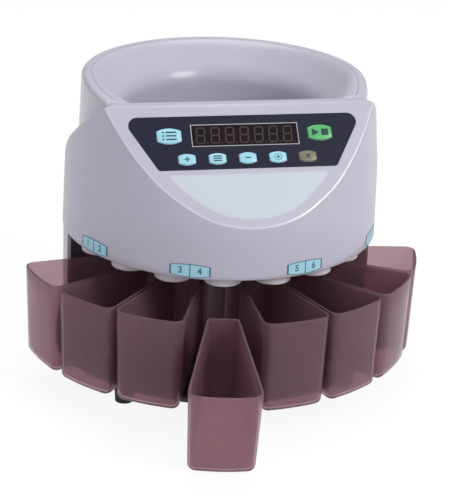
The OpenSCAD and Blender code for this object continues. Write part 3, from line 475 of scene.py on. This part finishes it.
def hopper_profile(azimuth):
    """Section of the hopper at one azimuth: up the outside, over the rim and down the funnel."""
    c = math.cos(math.radians(azimuth))

    def outer(r):
        return soft_min(r, FRONT_Y / c, 6) if c > 0.2 else r

    def inner(r):
        return soft_min(r, LIP_Y / c, 8) if c > 0.2 else r

    wide, bore = outer(RIM_R), inner(BORE_R)
    rim = min(1.0, (wide - bore) / RIM_WIDTH)
    top = rim_height(-wide * c)
    foot, neck = LEDGE_Z - (1 if c < 0.45 else 4), top - ROUND_Z
    heights = [foot + (neck - foot) * i / 8 for i in range(9)]
    line = [(outer(COLLAR_R - COLLAR_DRAUGHT * (z - LEDGE_Z)), z) for z in heights]
    wide = line[-1][0]
    for i in range(1, 9):
        t = math.pi / 2 * i / 8
        line.append((wide - ROUND_R * rim * (1 - math.cos(t)), neck + ROUND_Z * math.sin(t)))
    band, seam = wide - ROUND_R * rim, bore + 0.5 * rim
    line += [(r, rim_height(-r * c)) for r in [band + (seam - band) * i / 5 for i in range(1, 6)]]
    level = rim_height(-bore * c)
    line += [(bore + 0.3 * rim, level - 0.7), (bore - 0.05 * rim, level - 0.7),
             (bore - 0.35 * rim, level - 0.05)]
    funnel = bent([(bore - 0.4 * rim, level, 0), (level - 153.5, level - 0.4, 8), (88.2, 241.2, 9),
                   (THROAT_R, THROAT_Z, 0)], 52)
    line += [(min(inner(p.x), bore - (0.4 + 0.012 * k) * rim), p.y) for k, p in enumerate(funnel)]
    line.append((line[-1][0] + 2.4, THROAT_Z))
    return line


points, faces, _ = swept(hopper_profile)
mesh_piece("hopper_funnel", points, faces, bowl_plastic, "machine", ["hopper_collar", "hopper_bowl"])


# Panel film: dark printed film in the panel, with a pale smooth field below it.
# Thin polyester bonded into a shallow recess; a white line frames the display window.
def on_panel(u, v, w):
    """A point in millimetres on the key panel: u to the right, v down the slope, w outwards."""
    s, c = math.sin(TILT), math.cos(TILT)
    y = -PANEL_Y - v * c - w * s
    z = PANEL_Z - v * s + w * c
    return Vector((u / 1000, AXIS_Y + y / 1000, z / 1000))


def rounded_outline(corners, steps=8):
    """Closed outline through corners (u, v, radius), in order, with round corners."""
    out, n = [], len(corners)
    for i in range(n):
        p = Vector(corners[i][:2])
        a = (Vector(corners[i - 1][:2]) - p).normalized()
        b = (Vector(corners[(i + 1) % n][:2]) - p).normalized()
        half = a.angle(b) / 2
        radius = corners[i][2]
        centre = p + (a + b).normalized() * radius / math.sin(half)
        first, last = p + a * radius / math.tan(half), p + b * radius / math.tan(half)
        t0 = math.atan2(*(first - centre).yx)
        t1 = math.atan2(*(last - centre).yx)
        turn = (t1 - t0 + math.pi) % (2 * math.pi) - math.pi
        out += [centre + radius * Vector((math.cos(t0 + turn * k / steps), math.sin(t0 + turn * k / steps)))
                for k in range(steps + 1)]
    return [(p.x, p.y) for p in out]


def film(name, outline, low, high, material, body, replaced=(), holes=()):
    """A thin plate on the panel from an outline, with holes, filled by Blender's own tessellation."""
    mesh = bpy.data.meshes.new(name)
    shape = bmesh.new()
    rims = []
    for ring in [outline, *holes]:
        rows = [[shape.verts.new(on_panel(u, v, w)) for u, v in ring] for w in (low, high)]
        rims.append(rows)
        for k in range(len(ring)):
            m = (k + 1) % len(ring)
            shape.faces.new((rows[0][k], rows[0][m], rows[1][m], rows[1][k]))
    for level in (0, 1):
        edges = [e for rows in rims for e in
                 {e for v in rows[level] for e in v.link_edges if e.other_vert(v) in rows[level]}]
        bmesh.ops.triangle_fill(shape, use_beauty=True, use_dissolve=False, edges=edges)
    bmesh.ops.recalc_face_normals(shape, faces=shape.faces)
    shape.to_mesh(mesh)
    shape.free()
    mesh.materials.append(material)
    return set_up(name, mesh, body, replaced)


def key_outline(u, v, w, h, grow=0.0, steps=10):
    """Barrel outline of a key: straight sides, bulging top and bottom, small round corners."""
    bulge, top = [], []
    radius = w * 1.1
    half = w / 2 + grow
    for k in range(steps + 1):
        x = -half + 2 * half * k / steps
        y = h / 2 + grow - radius + math.sqrt(radius * radius - x * x)
        top.append((u + x, v - y))
        bulge.append((u - x, v + y))
    return top + bulge


def box_outline(half, top, low, grow=0.0):
    """A rectangle in the middle of the panel, from its top to its low edge."""
    half, top, low = half + grow, top - grow, low + grow
    return [(-half, top), (half, top), (half, low), (-half, low)]


KEY_PITCH, KEY_ROW, DISPLAY_ROW, LARGE_KEY_U = 26.15, 50, 28.4, 65.5
SMALL_KEY, LARGE_KEY, WINDOW = (14.6, 10), (20.7, 14.1), (46, 18.9, 37.9)
SMALL_KEYS = ("add_key", "batch_key", "minus_key", "set_key", "clear_key")
KEYS = {name: (KEY_PITCH * (k - 2), KEY_ROW, *SMALL_KEY) for k, name in enumerate(SMALL_KEYS)}
KEYS["report_key"] = (-LARGE_KEY_U, DISPLAY_ROW, *LARGE_KEY)
KEYS["start_key"] = (LARGE_KEY_U, DISPLAY_ROW, *LARGE_KEY)
navy_film = moulded("navy_film", (0.008, 0.009, 0.026), (0.010, 0.011, 0.030), 1600, 0.00003, 0.5, 0.08,
                    Specular_IOR_Level=0.25)
pale_film = moulded("pale_film", (0.60, 0.655, 0.70), (0.585, 0.64, 0.685), 1500, 0.00002, 0.3, 0.05,
                    Coat_Weight=0.1, Coat_Roughness=0.2)
# margin round the pale field: a slightly darker film, painted shade of the recess's edge
pale_edge = moulded("pale_edge", (0.56, 0.59, 0.64), (0.55, 0.58, 0.63), 1500, 0.00002, 0.35, 0.05)
white_line = moulded("white_line", (0.52, 0.52, 0.56), (0.46, 0.46, 0.50), 1400, 0.00002, 0.4, 0.08)
window = box_outline(*WINDOW)
upper, lower = (105, 10.4, 8), (77, 59.5, 3)
trapezium = rounded_outline([(-upper[0], *upper[1:]), upper, lower, (-lower[0], *lower[1:])])
film("panel_film", trapezium, -0.9, 0.12, navy_film, "machine", ["panel_overlay"],
     holes=[key_outline(*KEYS[k], grow=0.3) for k in KEYS] + [window])
line_outline = box_outline(*WINDOW, grow=0.6)
film("window_line", line_outline, 0.05, 0.2, white_line, "machine", holes=[window])


def field_outline(inset, top, drawn_in=5.0):
    """Outline of the pale field: a band inside the panel's round edge, drawn in at its upper ends."""
    edge, low = [], (PANEL_Z - crest_height(0)) / math.sin(TILT)
    for azimuth in [0.95 * k for k in range(-60, 61)]:
        z = crest_height(azimuth)
        across = wall_radius(z, azimuth) * math.sin(math.radians(azimuth))
        edge.append((across, (PANEL_Z - z) / math.sin(TILT)))
    out = []
    for before, here, after in zip(edge, edge[1:], edge[2:]):
        along = Vector(after) - Vector(before)
        ends = drawn_in * soft_step(here[1], low, top - inset)
        p = Vector(here) + Vector((along.y, -along.x)).normalized() * (inset + ends)
        if p.y > top + 0.8:
            out.append((p.x, p.y))
    return [(out[0][0] - 0.6, top), *out, (out[-1][0] + 0.6, top)]


# the margin ring shows 1.3 mm round the field as a painted shade step at the recess's edge
film("panel_margin", field_outline(8.0, 63.6), -0.3, 0.06, pale_edge, "machine")
film("panel_field", field_outline(9.3, 64.6), -0.3, 0.12, pale_film, "machine")

# Display: tinted window over seven unlit figures of seven bars each.
# The window is glued into the film; the block of figures stands on the board behind it.
tinted_window = moulded("tinted_window", (0.010, 0.005, 0.008), (0.012, 0.006, 0.009), 900, 0.00002,
                        0.3, 0.05, Specular_IOR_Level=0.15)
unlit_bar = moulded("unlit_bar", (0.052, 0.034, 0.039), (0.045, 0.030, 0.034), 2500, 0.00003, 0.5, 0.1,
                    Specular_IOR_Level=0.3)
film("display_glass", box_outline(*WINDOW, grow=-0.1), -0.6, 0.07, tinted_window, "machine",
     ["display_window"])
paint(fitting_black, "display_module")


def figure_row():
    """Geometry Nodes tree: one figure of seven bars and a point, repeated along a line."""
    tree = bpy.data.node_groups.new("display_figures", "GeometryNodeTree")
    face = tree.interface
    for name, kind, value in (("Figures", "NodeSocketInt", 7), ("Pitch", "NodeSocketFloat", 0.0127),
                              ("Bar", "NodeSocketFloat", 0.0062), ("Thick", "NodeSocketFloat", 0.0013),
                              ("Finish", "NodeSocketMaterial", None)):
        socket = face.new_socket(name, in_out="INPUT", socket_type=kind)
        if value is not None:
            socket.default_value = value
    face.new_socket("Row", in_out="OUTPUT", socket_type="NodeSocketGeometry")
    add, link = tree.nodes.new, tree.links.new
    give, take = add("NodeGroupInput"), add("NodeGroupOutput")
    join = add("GeometryNodeJoinGeometry")

    def times(socket, factor):
        node = add("ShaderNodeMath")
        node.operation = "MULTIPLY"
        link(socket, node.inputs[0])
        node.inputs[1].default_value = factor
        return node.outputs[0]

    def vector(x=None, y=None, z=None):
        node = add("ShaderNodeCombineXYZ")
        for socket, axis in ((x, "X"), (y, "Y"), (z, "Z")):
            if socket is not None:
                link(socket, node.inputs[axis])
        return node.outputs[0]

    bar, thick = give.outputs["Bar"], give.outputs["Thick"]
    flat, upright = vector(bar, thick, times(thick, 0.05)), vector(thick, bar, times(thick, 0.05))
    for x, y, size in ((0, 1.16, flat), (0, 0, flat), (0, -1.16, flat), (0.58, 0.58, upright),
                       (0.58, -0.58, upright), (-0.58, 0.58, upright), (-0.58, -0.58, upright)):
        block = add("GeometryNodeMeshCube")
        link(size, block.inputs["Size"])
        put = add("GeometryNodeTransform")
        link(block.outputs["Mesh"], put.inputs["Geometry"])
        link(vector(times(bar, x), times(bar, y)), put.inputs["Translation"])
        link(put.outputs["Geometry"], join.inputs["Geometry"])
    point = add("GeometryNodeMeshCube")
    link(vector(thick, thick, times(thick, 0.05)), point.inputs["Size"])
    put = add("GeometryNodeTransform")
    link(point.outputs["Mesh"], put.inputs["Geometry"])
    link(vector(times(bar, 0.98), times(bar, -1.16)), put.inputs["Translation"])
    link(put.outputs["Geometry"], join.inputs["Geometry"])
    line = add("GeometryNodeMeshLine")
    link(give.outputs["Figures"], line.inputs["Count"])
    link(vector(give.outputs["Pitch"]), line.inputs["Offset"])
    row = add("GeometryNodeInstanceOnPoints")
    link(line.outputs["Mesh"], row.inputs["Points"])
    link(join.outputs["Geometry"], row.inputs["Instance"])
    real, coat = add("GeometryNodeRealizeInstances"), add("GeometryNodeSetMaterial")
    link(row.outputs["Instances"], real.inputs["Geometry"])
    link(real.outputs["Geometry"], coat.inputs["Geometry"])
    link(give.outputs["Finish"], coat.inputs["Material"])
    link(coat.outputs["Geometry"], take.inputs["Row"])
    return tree


FIGURES, FIGURE_PITCH, POINT_ROOM, LEAN, FIGURE_LIFT = 7, 12.6, 0.6, 0.06, 0.10
figures = grown("display_figures", figure_row(), "machine", Figures=FIGURES, Pitch=FIGURE_PITCH / 1000,
                Bar=0.0060, Thick=0.0013, Finish=unlit_bar)
for vert in figures.data.vertices:
    x, y, z = [part * 1000 for part in vert.co]
    across = x - FIGURE_PITCH * (FIGURES - 1) / 2 - POINT_ROOM + LEAN * y
    vert.co = on_panel(across, DISPLAY_ROW - y, FIGURE_LIFT + z)

# Keys: seven barrel-shaped caps that stand a little over the film, each with a printed sign.
# Moulded plastic on a stem that goes down to a push switch; cyan, one green, one olive.
key_cyan = moulded("key_cyan", (0.33, 0.68, 0.815), (0.37, 0.72, 0.84), 1500, 0.00003, 0.32, 0.08,
                   Coat_Weight=0.1)
key_green = moulded("key_green", (0.075, 0.45, 0.13), (0.09, 0.49, 0.15), 1500, 0.00003, 0.32, 0.08,
                    Coat_Weight=0.1)
key_olive = moulded("key_olive", (0.19, 0.18, 0.11), (0.21, 0.20, 0.125), 1500, 0.00003, 0.36, 0.08,
                    Coat_Weight=0.1)
sign_ink = moulded("sign_ink", (0.012, 0.03, 0.06), (0.016, 0.036, 0.07), 1800, 0.00001, 0.45, 0.06)


def key_signs(name, u, v):
    """Printed signs of one key as lists of flat outlines (u, v)."""
    def bar(x, y, w, h):
        return [(u + x - w / 2, v + y - h / 2), (u + x + w / 2, v + y - h / 2),
                (u + x + w / 2, v + y + h / 2), (u + x - w / 2, v + y + h / 2)]

    def disc(x, y, r, n=20):
        return [(u + x + r * math.cos(2 * math.pi * k / n), v + y + r * math.sin(2 * math.pi * k / n))
                for k in range(n)]

    if name == "add_key":
        return [bar(0, 0, 4.6, 1.0), bar(0, -1.4, 1.0, 1.8), bar(0, 1.4, 1.0, 1.8)]
    if name == "minus_key":
        return [bar(0, 0, 4.6, 1.0)]
    if name == "batch_key":
        return [bar(0, -2.0, 7.0, 1.0), bar(0, 0, 7.0, 1.0), bar(0, 2.0, 7.0, 1.0)]
    if name == "set_key":
        ring = ((3, 0), (-3, 0), (0, 2.8), (0, -2.8), (2.1, 2), (-2.1, 2), (2.1, -2), (-2.1, -2))
        return [disc(0, 0, 1.1)] + [bar(x, y, 1.0, 1.0) for x, y in ring]
    if name == "clear_key":
        return [[(u + s * a, v + b) for a, b in ((-2.2, -1.7), (-1.5, -2.3), (2.2, 1.7), (1.5, 2.3))]
                for s in (1, -1)]
    if name == "report_key":
        rows = (-3.2, 0, 3.2)
        return [bar(-5.2, y, 1.4, 1.4) for y in rows] + [bar(1.6, y, 9.0, 1.2) for y in rows]
    return [[(u - 7.0, v - 3.4), (u - 0.8, v), (u - 7.0, v + 3.4)], bar(4.2, 0, 6.0, 6.0)]


def face_outwards(mesh):
    """Turns the normals of a mesh outwards, and those of printed signs upwards."""
    shape = bmesh.new()
    shape.from_mesh(mesh)
    bmesh.ops.recalc_face_normals(shape, faces=shape.faces)
    for face in shape.faces:
        if face.material_index == 1 and face.normal.z < 0:
            face.normal_flip()
    shape.to_mesh(mesh)
    shape.free()


KEY_TOP, INK = 1.5, 0.06
for name, (u, v, w, h) in KEYS.items():
    finish = {"start_key": key_green, "clear_key": key_olive}.get(name, key_cyan)
    points, faces = [], []
    levels = [(-0.3, -2.0), (0.0, 0.6), (-0.1, 1.0), (-0.35, 1.25), (-0.75, 1.38)]
    base = key_outline(u, v, w, h)
    n = len(base)
    for inset, height in levels:
        scale_u, scale_v = 1 + 2 * inset / w, 1 + 2 * inset / h
        points += [on_panel(u + (x - u) * scale_u, v + (y - v) * scale_v, height) for x, y in base]
    for k in range(len(levels) - 1):
        for m in range(n):
            q = (m + 1) % n
            faces.append((k * n + m, (k + 1) * n + m, (k + 1) * n + q, k * n + q))
    points.append(on_panel(u, v, KEY_TOP))
    top = (len(levels) - 1) * n
    faces += [(top + m, len(points) - 1, top + (m + 1) % n) for m in range(n)]
    first_ink = len(faces)
    for outline in key_signs(name, u, v):
        start = len(points)
        points += [on_panel(x, y, KEY_TOP + INK) for x, y in outline]
        faces.append(tuple(range(start, start + len(outline))))
    piece = mesh_piece(name + "_cap", points, faces, [finish, sign_ink], name, [name])
    for k in range(first_ink, len(piece.data.polygons)):
        piece.data.polygons[k].material_index = 1
        piece.data.polygons[k].use_smooth = False
    face_outwards(piece.data)

# Drawer labels: four printed two-part stickers along the case's lower edge.
# Pale blue film with a teal outline and plain numbers, one part for each drawer.
label_blue = moulded("label_blue", (0.36, 0.67, 0.81), (0.40, 0.70, 0.83), 1500, 0.00002, 0.4, 0.06)
label_teal = moulded("label_teal", (0.02, 0.17, 0.25), (0.03, 0.20, 0.28), 1500, 0.00002, 0.4, 0.06)
LABEL_Z, LABEL_HALF, LABEL_HALF_HEIGHT = 135.3, 17.75, 6
PART_MIDDLE, PART_HALF, PART_HALF_HEIGHT = 8.4, 7.9, 5.3
OUTLINE_LIFT, PART_LIFT, NUMBER_LIFT, NUMBER_HEIGHT = 0.30, 0.36, 0.42, 8.0


def on_skirt(azimuth, s, t, lift):
    """A point on the case's wall: s along it and t up from the middle of a label, in millimetres."""
    z = LABEL_Z + t
    r = wall_radius(z, azimuth) + lift
    return around(azimuth + math.degrees(s / r), r, z)


def number_outline(text, height):
    """A number as a flat mesh from Blender's own font, centred, in millimetres."""
    curve = bpy.data.curves.new("number", "FONT")
    curve.body, curve.size = text, height
    curve.align_x, curve.align_y = "CENTER", "CENTER"
    curve.offset = 0.22
    holder = bpy.data.objects.new("number", curve)
    bpy.context.scene.collection.objects.link(holder)
    mesh = bpy.data.meshes.new_from_object(holder.evaluated_get(bpy.context.evaluated_depsgraph_get()))
    got = [v.co.copy() for v in mesh.vertices], [tuple(p.vertices) for p in mesh.polygons]
    bpy.data.objects.remove(holder)
    bpy.data.meshes.remove(mesh)
    bpy.data.curves.remove(curve)
    return got


def label_patch(azimuth, middle, half, half_height, lift, columns, points, faces):
    """A patch of a barrel-shaped label that lies on the wall, from its middle along the wall."""
    rows, start = 4, len(points)
    for i in range(columns + 1):
        s = middle - half + 2 * half * i / columns
        tall = half_height * (1 - 0.28 * (abs(s) / LABEL_HALF) ** 2)
        points += [on_skirt(azimuth, s, -tall + 2 * tall * j / rows, lift) for j in range(rows + 1)]
    for i in range(columns):
        for j in range(rows):
            a = start + i * (rows + 1) + j
            faces.append((a, a + rows + 1, a + rows + 2, a + 1))


points, faces, inks = [], [], []
for pair, azimuth in enumerate((-61.5, -21.9, 19.1, 61.5)):
    label_patch(azimuth, 0, LABEL_HALF, LABEL_HALF_HEIGHT, OUTLINE_LIFT, 16, points, faces)
    inks += [1] * (len(faces) - len(inks))
    for side in (-1, 1):
        middle = side * PART_MIDDLE
        label_patch(azimuth, middle, PART_HALF, PART_HALF_HEIGHT, PART_LIFT, 10, points, faces)
        inks += [0] * (len(faces) - len(inks))
        shape, skin = number_outline(str(2 * pair + (1 if side < 0 else 2)), NUMBER_HEIGHT)
        start = len(points)
        points += [on_skirt(azimuth, middle + p.x, p.y, NUMBER_LIFT) for p in shape]
        faces += [tuple(start + k for k in f) for f in skin]
        inks += [1] * (len(faces) - len(inks))
labels = mesh_piece("drawer_label_film", points, faces, [label_blue, label_teal], "machine",
                    ["drawer_labels"], smooth=False)
labels.data.polygons.foreach_set("material_index", inks)

# Drawers: eight smoky see-through tubs, wedge shaped, that stand on the base round the column.
# Thin moulded walls with a small draught, round corners and a rolled rim; the fourth is drawn out.
smoke = moulded("smoky_plastic", (0.54, 0.355, 0.40), (0.50, 0.325, 0.37), 1300, 0.000006, 0.16, 0.05,
                Transmission_Weight=0.80, IOR=1.2)
DRAWER_R, TAIL_R, CORNER_R, SIDE_GAP, TAIL_CUT = 183.0, 80.0, 9.0, 1.0, 2.5


def drawer_loop(inset):
    """Closed outline of a drawer at one level, outwards along -y, always with the same points."""
    half, corner = math.radians(DRAWER_PITCH / 2), CORNER_R - min(inset, 6.5)
    big, side = DRAWER_R - inset, SIDE_GAP + inset
    turn = half - math.asin((side + corner) / (big - corner))
    cx, cy = (big - corner) * math.sin(turn), (big - corner) * math.cos(turn)
    tx, ty = cx + corner * math.cos(half), cy - corner * math.sin(half)
    tail = TAIL_R + inset
    ex = tx - (ty - tail) * math.tan(half)
    nip = min(TAIL_CUT, ex * 0.4)
    right = [(ex - nip, -tail), (ex - nip * 0.3, -tail - nip * 0.3),
             (ex + nip * math.tan(half), -tail - nip)]
    right += [(ex + (tx - ex) * k / 8, -tail - (ty - tail) * k / 8) for k in range(1, 9)]
    for k in range(1, 9):
        a = -half + (math.pi / 2 + half - turn) * k / 8
        right.append((cx + corner * math.cos(a), -cy - corner * math.sin(a)))
    for a in [turn * (1 - k / 8) for k in range(1, 9)]:
        right.append((big * math.sin(a), -big * math.cos(a)))
    return right + [(-x, y) for x, y in reversed(right[:-1])]


def drawer_shape():
    """Tub from loops: outside from the bottom up, over the rim and down inside."""
    low, high, wall, draught, foot_round, inner_round = 22.3, 105.3, 2.0, 2.0, 6.0, 5.0
    foot, neck = low + foot_round, high - 1.0
    quarter = [math.pi / 2 * k / 6 for k in range(7)]
    loops = [(draught + foot_round * (1 - math.sin(a)), low + foot_round * (1 - math.cos(a)))
             for a in quarter]
    loops += [(draught * (1 - t), foot + (neck - foot) * t) for t in (0.25, 0.5, 0.75, 1.0)]
    loops += [(0.15, high - 0.4), (0.55, high), (1.45, high), (1.85, high - 0.4)]
    loops += [(wall + draught * (1 - t), foot + (neck - foot) * t) for t in (1.0, 0.75, 0.5, 0.25)]
    for a in reversed(quarter):
        inset = wall + draught + inner_round * (1 - math.sin(a))
        loops.append((inset, low + wall + inner_round * (1 - math.cos(a))))
    points, faces = [], []
    for inset, z in loops:
        points += [(x, y, z) for x, y in drawer_loop(inset)]
    n = len(drawer_loop(0))
    for k in range(len(loops) - 1):
        for m in range(n):
            q = (m + 1) % n
            faces.append((k * n + m, k * n + q, (k + 1) * n + q, (k + 1) * n + m))
    last = (len(loops) - 1) * n
    faces.append(tuple(range(n - 1, -1, -1)))
    faces.append(tuple(last + m for m in range(n)))
    return points, faces


tub_points, tub_faces = drawer_shape()
LIP_R, LIP_H, DRAWN_OUT, TIP = 147.5, 19.5, 63.5, 13.82239724
for number in range(1, 9):
    turn = Matrix.Rotation(math.radians((number - 4.5) * DRAWER_PITCH), 4, "Z")
    place = Matrix.Translation((0, AXIS_Y * 1000, 0)) @ turn
    if number == 4:
        place = (place @ Matrix.Translation((0, -LIP_R, LIP_H)) @ Matrix.Rotation(math.radians(TIP), 4, "X")
                 @ Matrix.Translation((0, LIP_R - DRAWN_OUT, -LIP_H)))
    points = [(place @ Vector(p)) / 1000 for p in tub_points]
    piece = mesh_piece(f"drawer_{number}_tub", points, tub_faces, smoke, f"drawer_{number}",
                       [f"drawer_{number}"])
    face_outwards(piece.data)


# Stage: plain pale floor that shows as white, soft lamps round the machine, and the camera.
# The floor keeps the soft shadow; the camera stands a little to the left and above.
def floor_finish():
    """White to the camera and in reflections, matt to the light, so that it keeps a soft shadow."""
    material = bpy.data.materials.new("studio_floor")
    material.use_nodes = True
    nodes, link = material.node_tree.nodes, material.node_tree.links.new
    nodes.remove(nodes["Principled BSDF"])
    out = nodes["Material Output"]
    matt, glow, mix = (nodes.new("ShaderNodeBsdfDiffuse"), nodes.new("ShaderNodeEmission"),
                       nodes.new("ShaderNodeMixShader"))
    pale, strength, glow_share = 0.86, 1.05, 0.86
    matt.inputs["Color"].default_value = (pale, pale, pale, 1)
    glow.inputs["Color"].default_value = (1, 1, 1, 1)
    glow.inputs["Strength"].default_value = strength
    path = nodes.new("ShaderNodeLightPath")
    seen = nodes.new("ShaderNodeMath")
    seen.operation = "MAXIMUM"
    link(path.outputs["Is Camera Ray"], seen.inputs[0])
    link(path.outputs["Is Glossy Ray"], seen.inputs[1])
    also = nodes.new("ShaderNodeMath")
    also.operation = "MAXIMUM"
    link(seen.outputs[0], also.inputs[0])
    link(path.outputs["Is Transmission Ray"], also.inputs[1])
    share = nodes.new("ShaderNodeMath")
    share.operation = "MULTIPLY"
    share.inputs[1].default_value = glow_share
    link(also.outputs[0], share.inputs[0])
    link(share.outputs[0], mix.inputs["Fac"])
    link(matt.outputs["BSDF"], mix.inputs[1])
    link(glow.outputs["Emission"], mix.inputs[2])
    link(mix.outputs["Shader"], out.inputs["Surface"])
    return material


floor_mesh = bpy.data.meshes.new("floor")
REACH, UNDER = 9, -0.0002
floor_mesh.from_pydata([(-REACH, -REACH, UNDER), (REACH, -REACH, UNDER), (REACH, REACH, UNDER),
                        (-REACH, REACH, UNDER)], [], [(0, 1, 2, 3)])
floor_mesh.materials.append(floor_finish())
floor = bpy.data.objects.new("floor", floor_mesh)
bpy.context.scene.collection.objects.link(floor)

world = bpy.data.worlds.new("studio")
bpy.context.scene.world = world
world.use_nodes = True
sky = world.node_tree.nodes["Background"]
sky.inputs["Color"].default_value = (1, 1, 1, 1)
ray = world.node_tree.nodes.new("ShaderNodeLightPath")
level = world.node_tree.nodes.new("ShaderNodeMapRange")
level.inputs["To Min"].default_value = 0.42
level.inputs["To Max"].default_value = 1.0
world.node_tree.links.new(ray.outputs["Is Camera Ray"], level.inputs["Value"])
world.node_tree.links.new(level.outputs["Result"], sky.inputs["Strength"])


def lamp(name, place, aim, size, power):
    """A round white lamp at a place, aimed at a point."""
    light = bpy.data.lights.new(name, "AREA")
    light.shape, light.size, light.energy = "DISK", size, power
    holder = bpy.data.objects.new(name, light)
    bpy.context.scene.collection.objects.link(holder)
    holder.location = place
    holder.rotation_euler = (Vector(aim) - Vector(place)).to_track_quat("-Z", "Y").to_euler()


lamp("key_lamp", (1.4, -1.5, 1.7), (0, 0, 0.15), 1.2, 29)
lamp("fill_lamp", (-1.7, -1.2, 1.3), (0, 0, 0.15), 1.4, 5)
lamp("top_lamp", (0.1, 0.5, 2.1), (0, 0, 0.2), 1.5, 15)

camera = bpy.data.cameras.new("camera")
camera.sensor_width, camera.lens = 36.0, 125.35
camera.clip_end = 50
eye = bpy.data.objects.new("camera", camera)
bpy.context.scene.collection.objects.link(eye)
yaw, pitch, roll = math.radians(-13.2), math.radians(21.76), math.radians(2.62)
back = Vector((math.sin(yaw) * math.cos(pitch), -math.cos(yaw) * math.cos(pitch), math.sin(pitch)))
right = Vector((math.cos(yaw), math.sin(yaw), 0))
up = back.cross(right)
right, up = right * math.cos(roll) + up * math.sin(roll), up * math.cos(roll) - right * math.sin(roll)
AIM_Z, AIM_SIDE, DISTANCE = 0.10213, 0.00706, 1.58587
target = Vector((0, AXIS_Y, AIM_Z)) + Vector((math.cos(yaw), math.sin(yaw), 0)) * AIM_SIDE
turn = Matrix((right, up, back)).transposed().to_4x4()
eye.matrix_world = Matrix.Translation(target + back * DISTANCE) @ turn
bpy.context.scene.camera = eye
bpy.context.scene.view_settings.view_transform = "Standard"
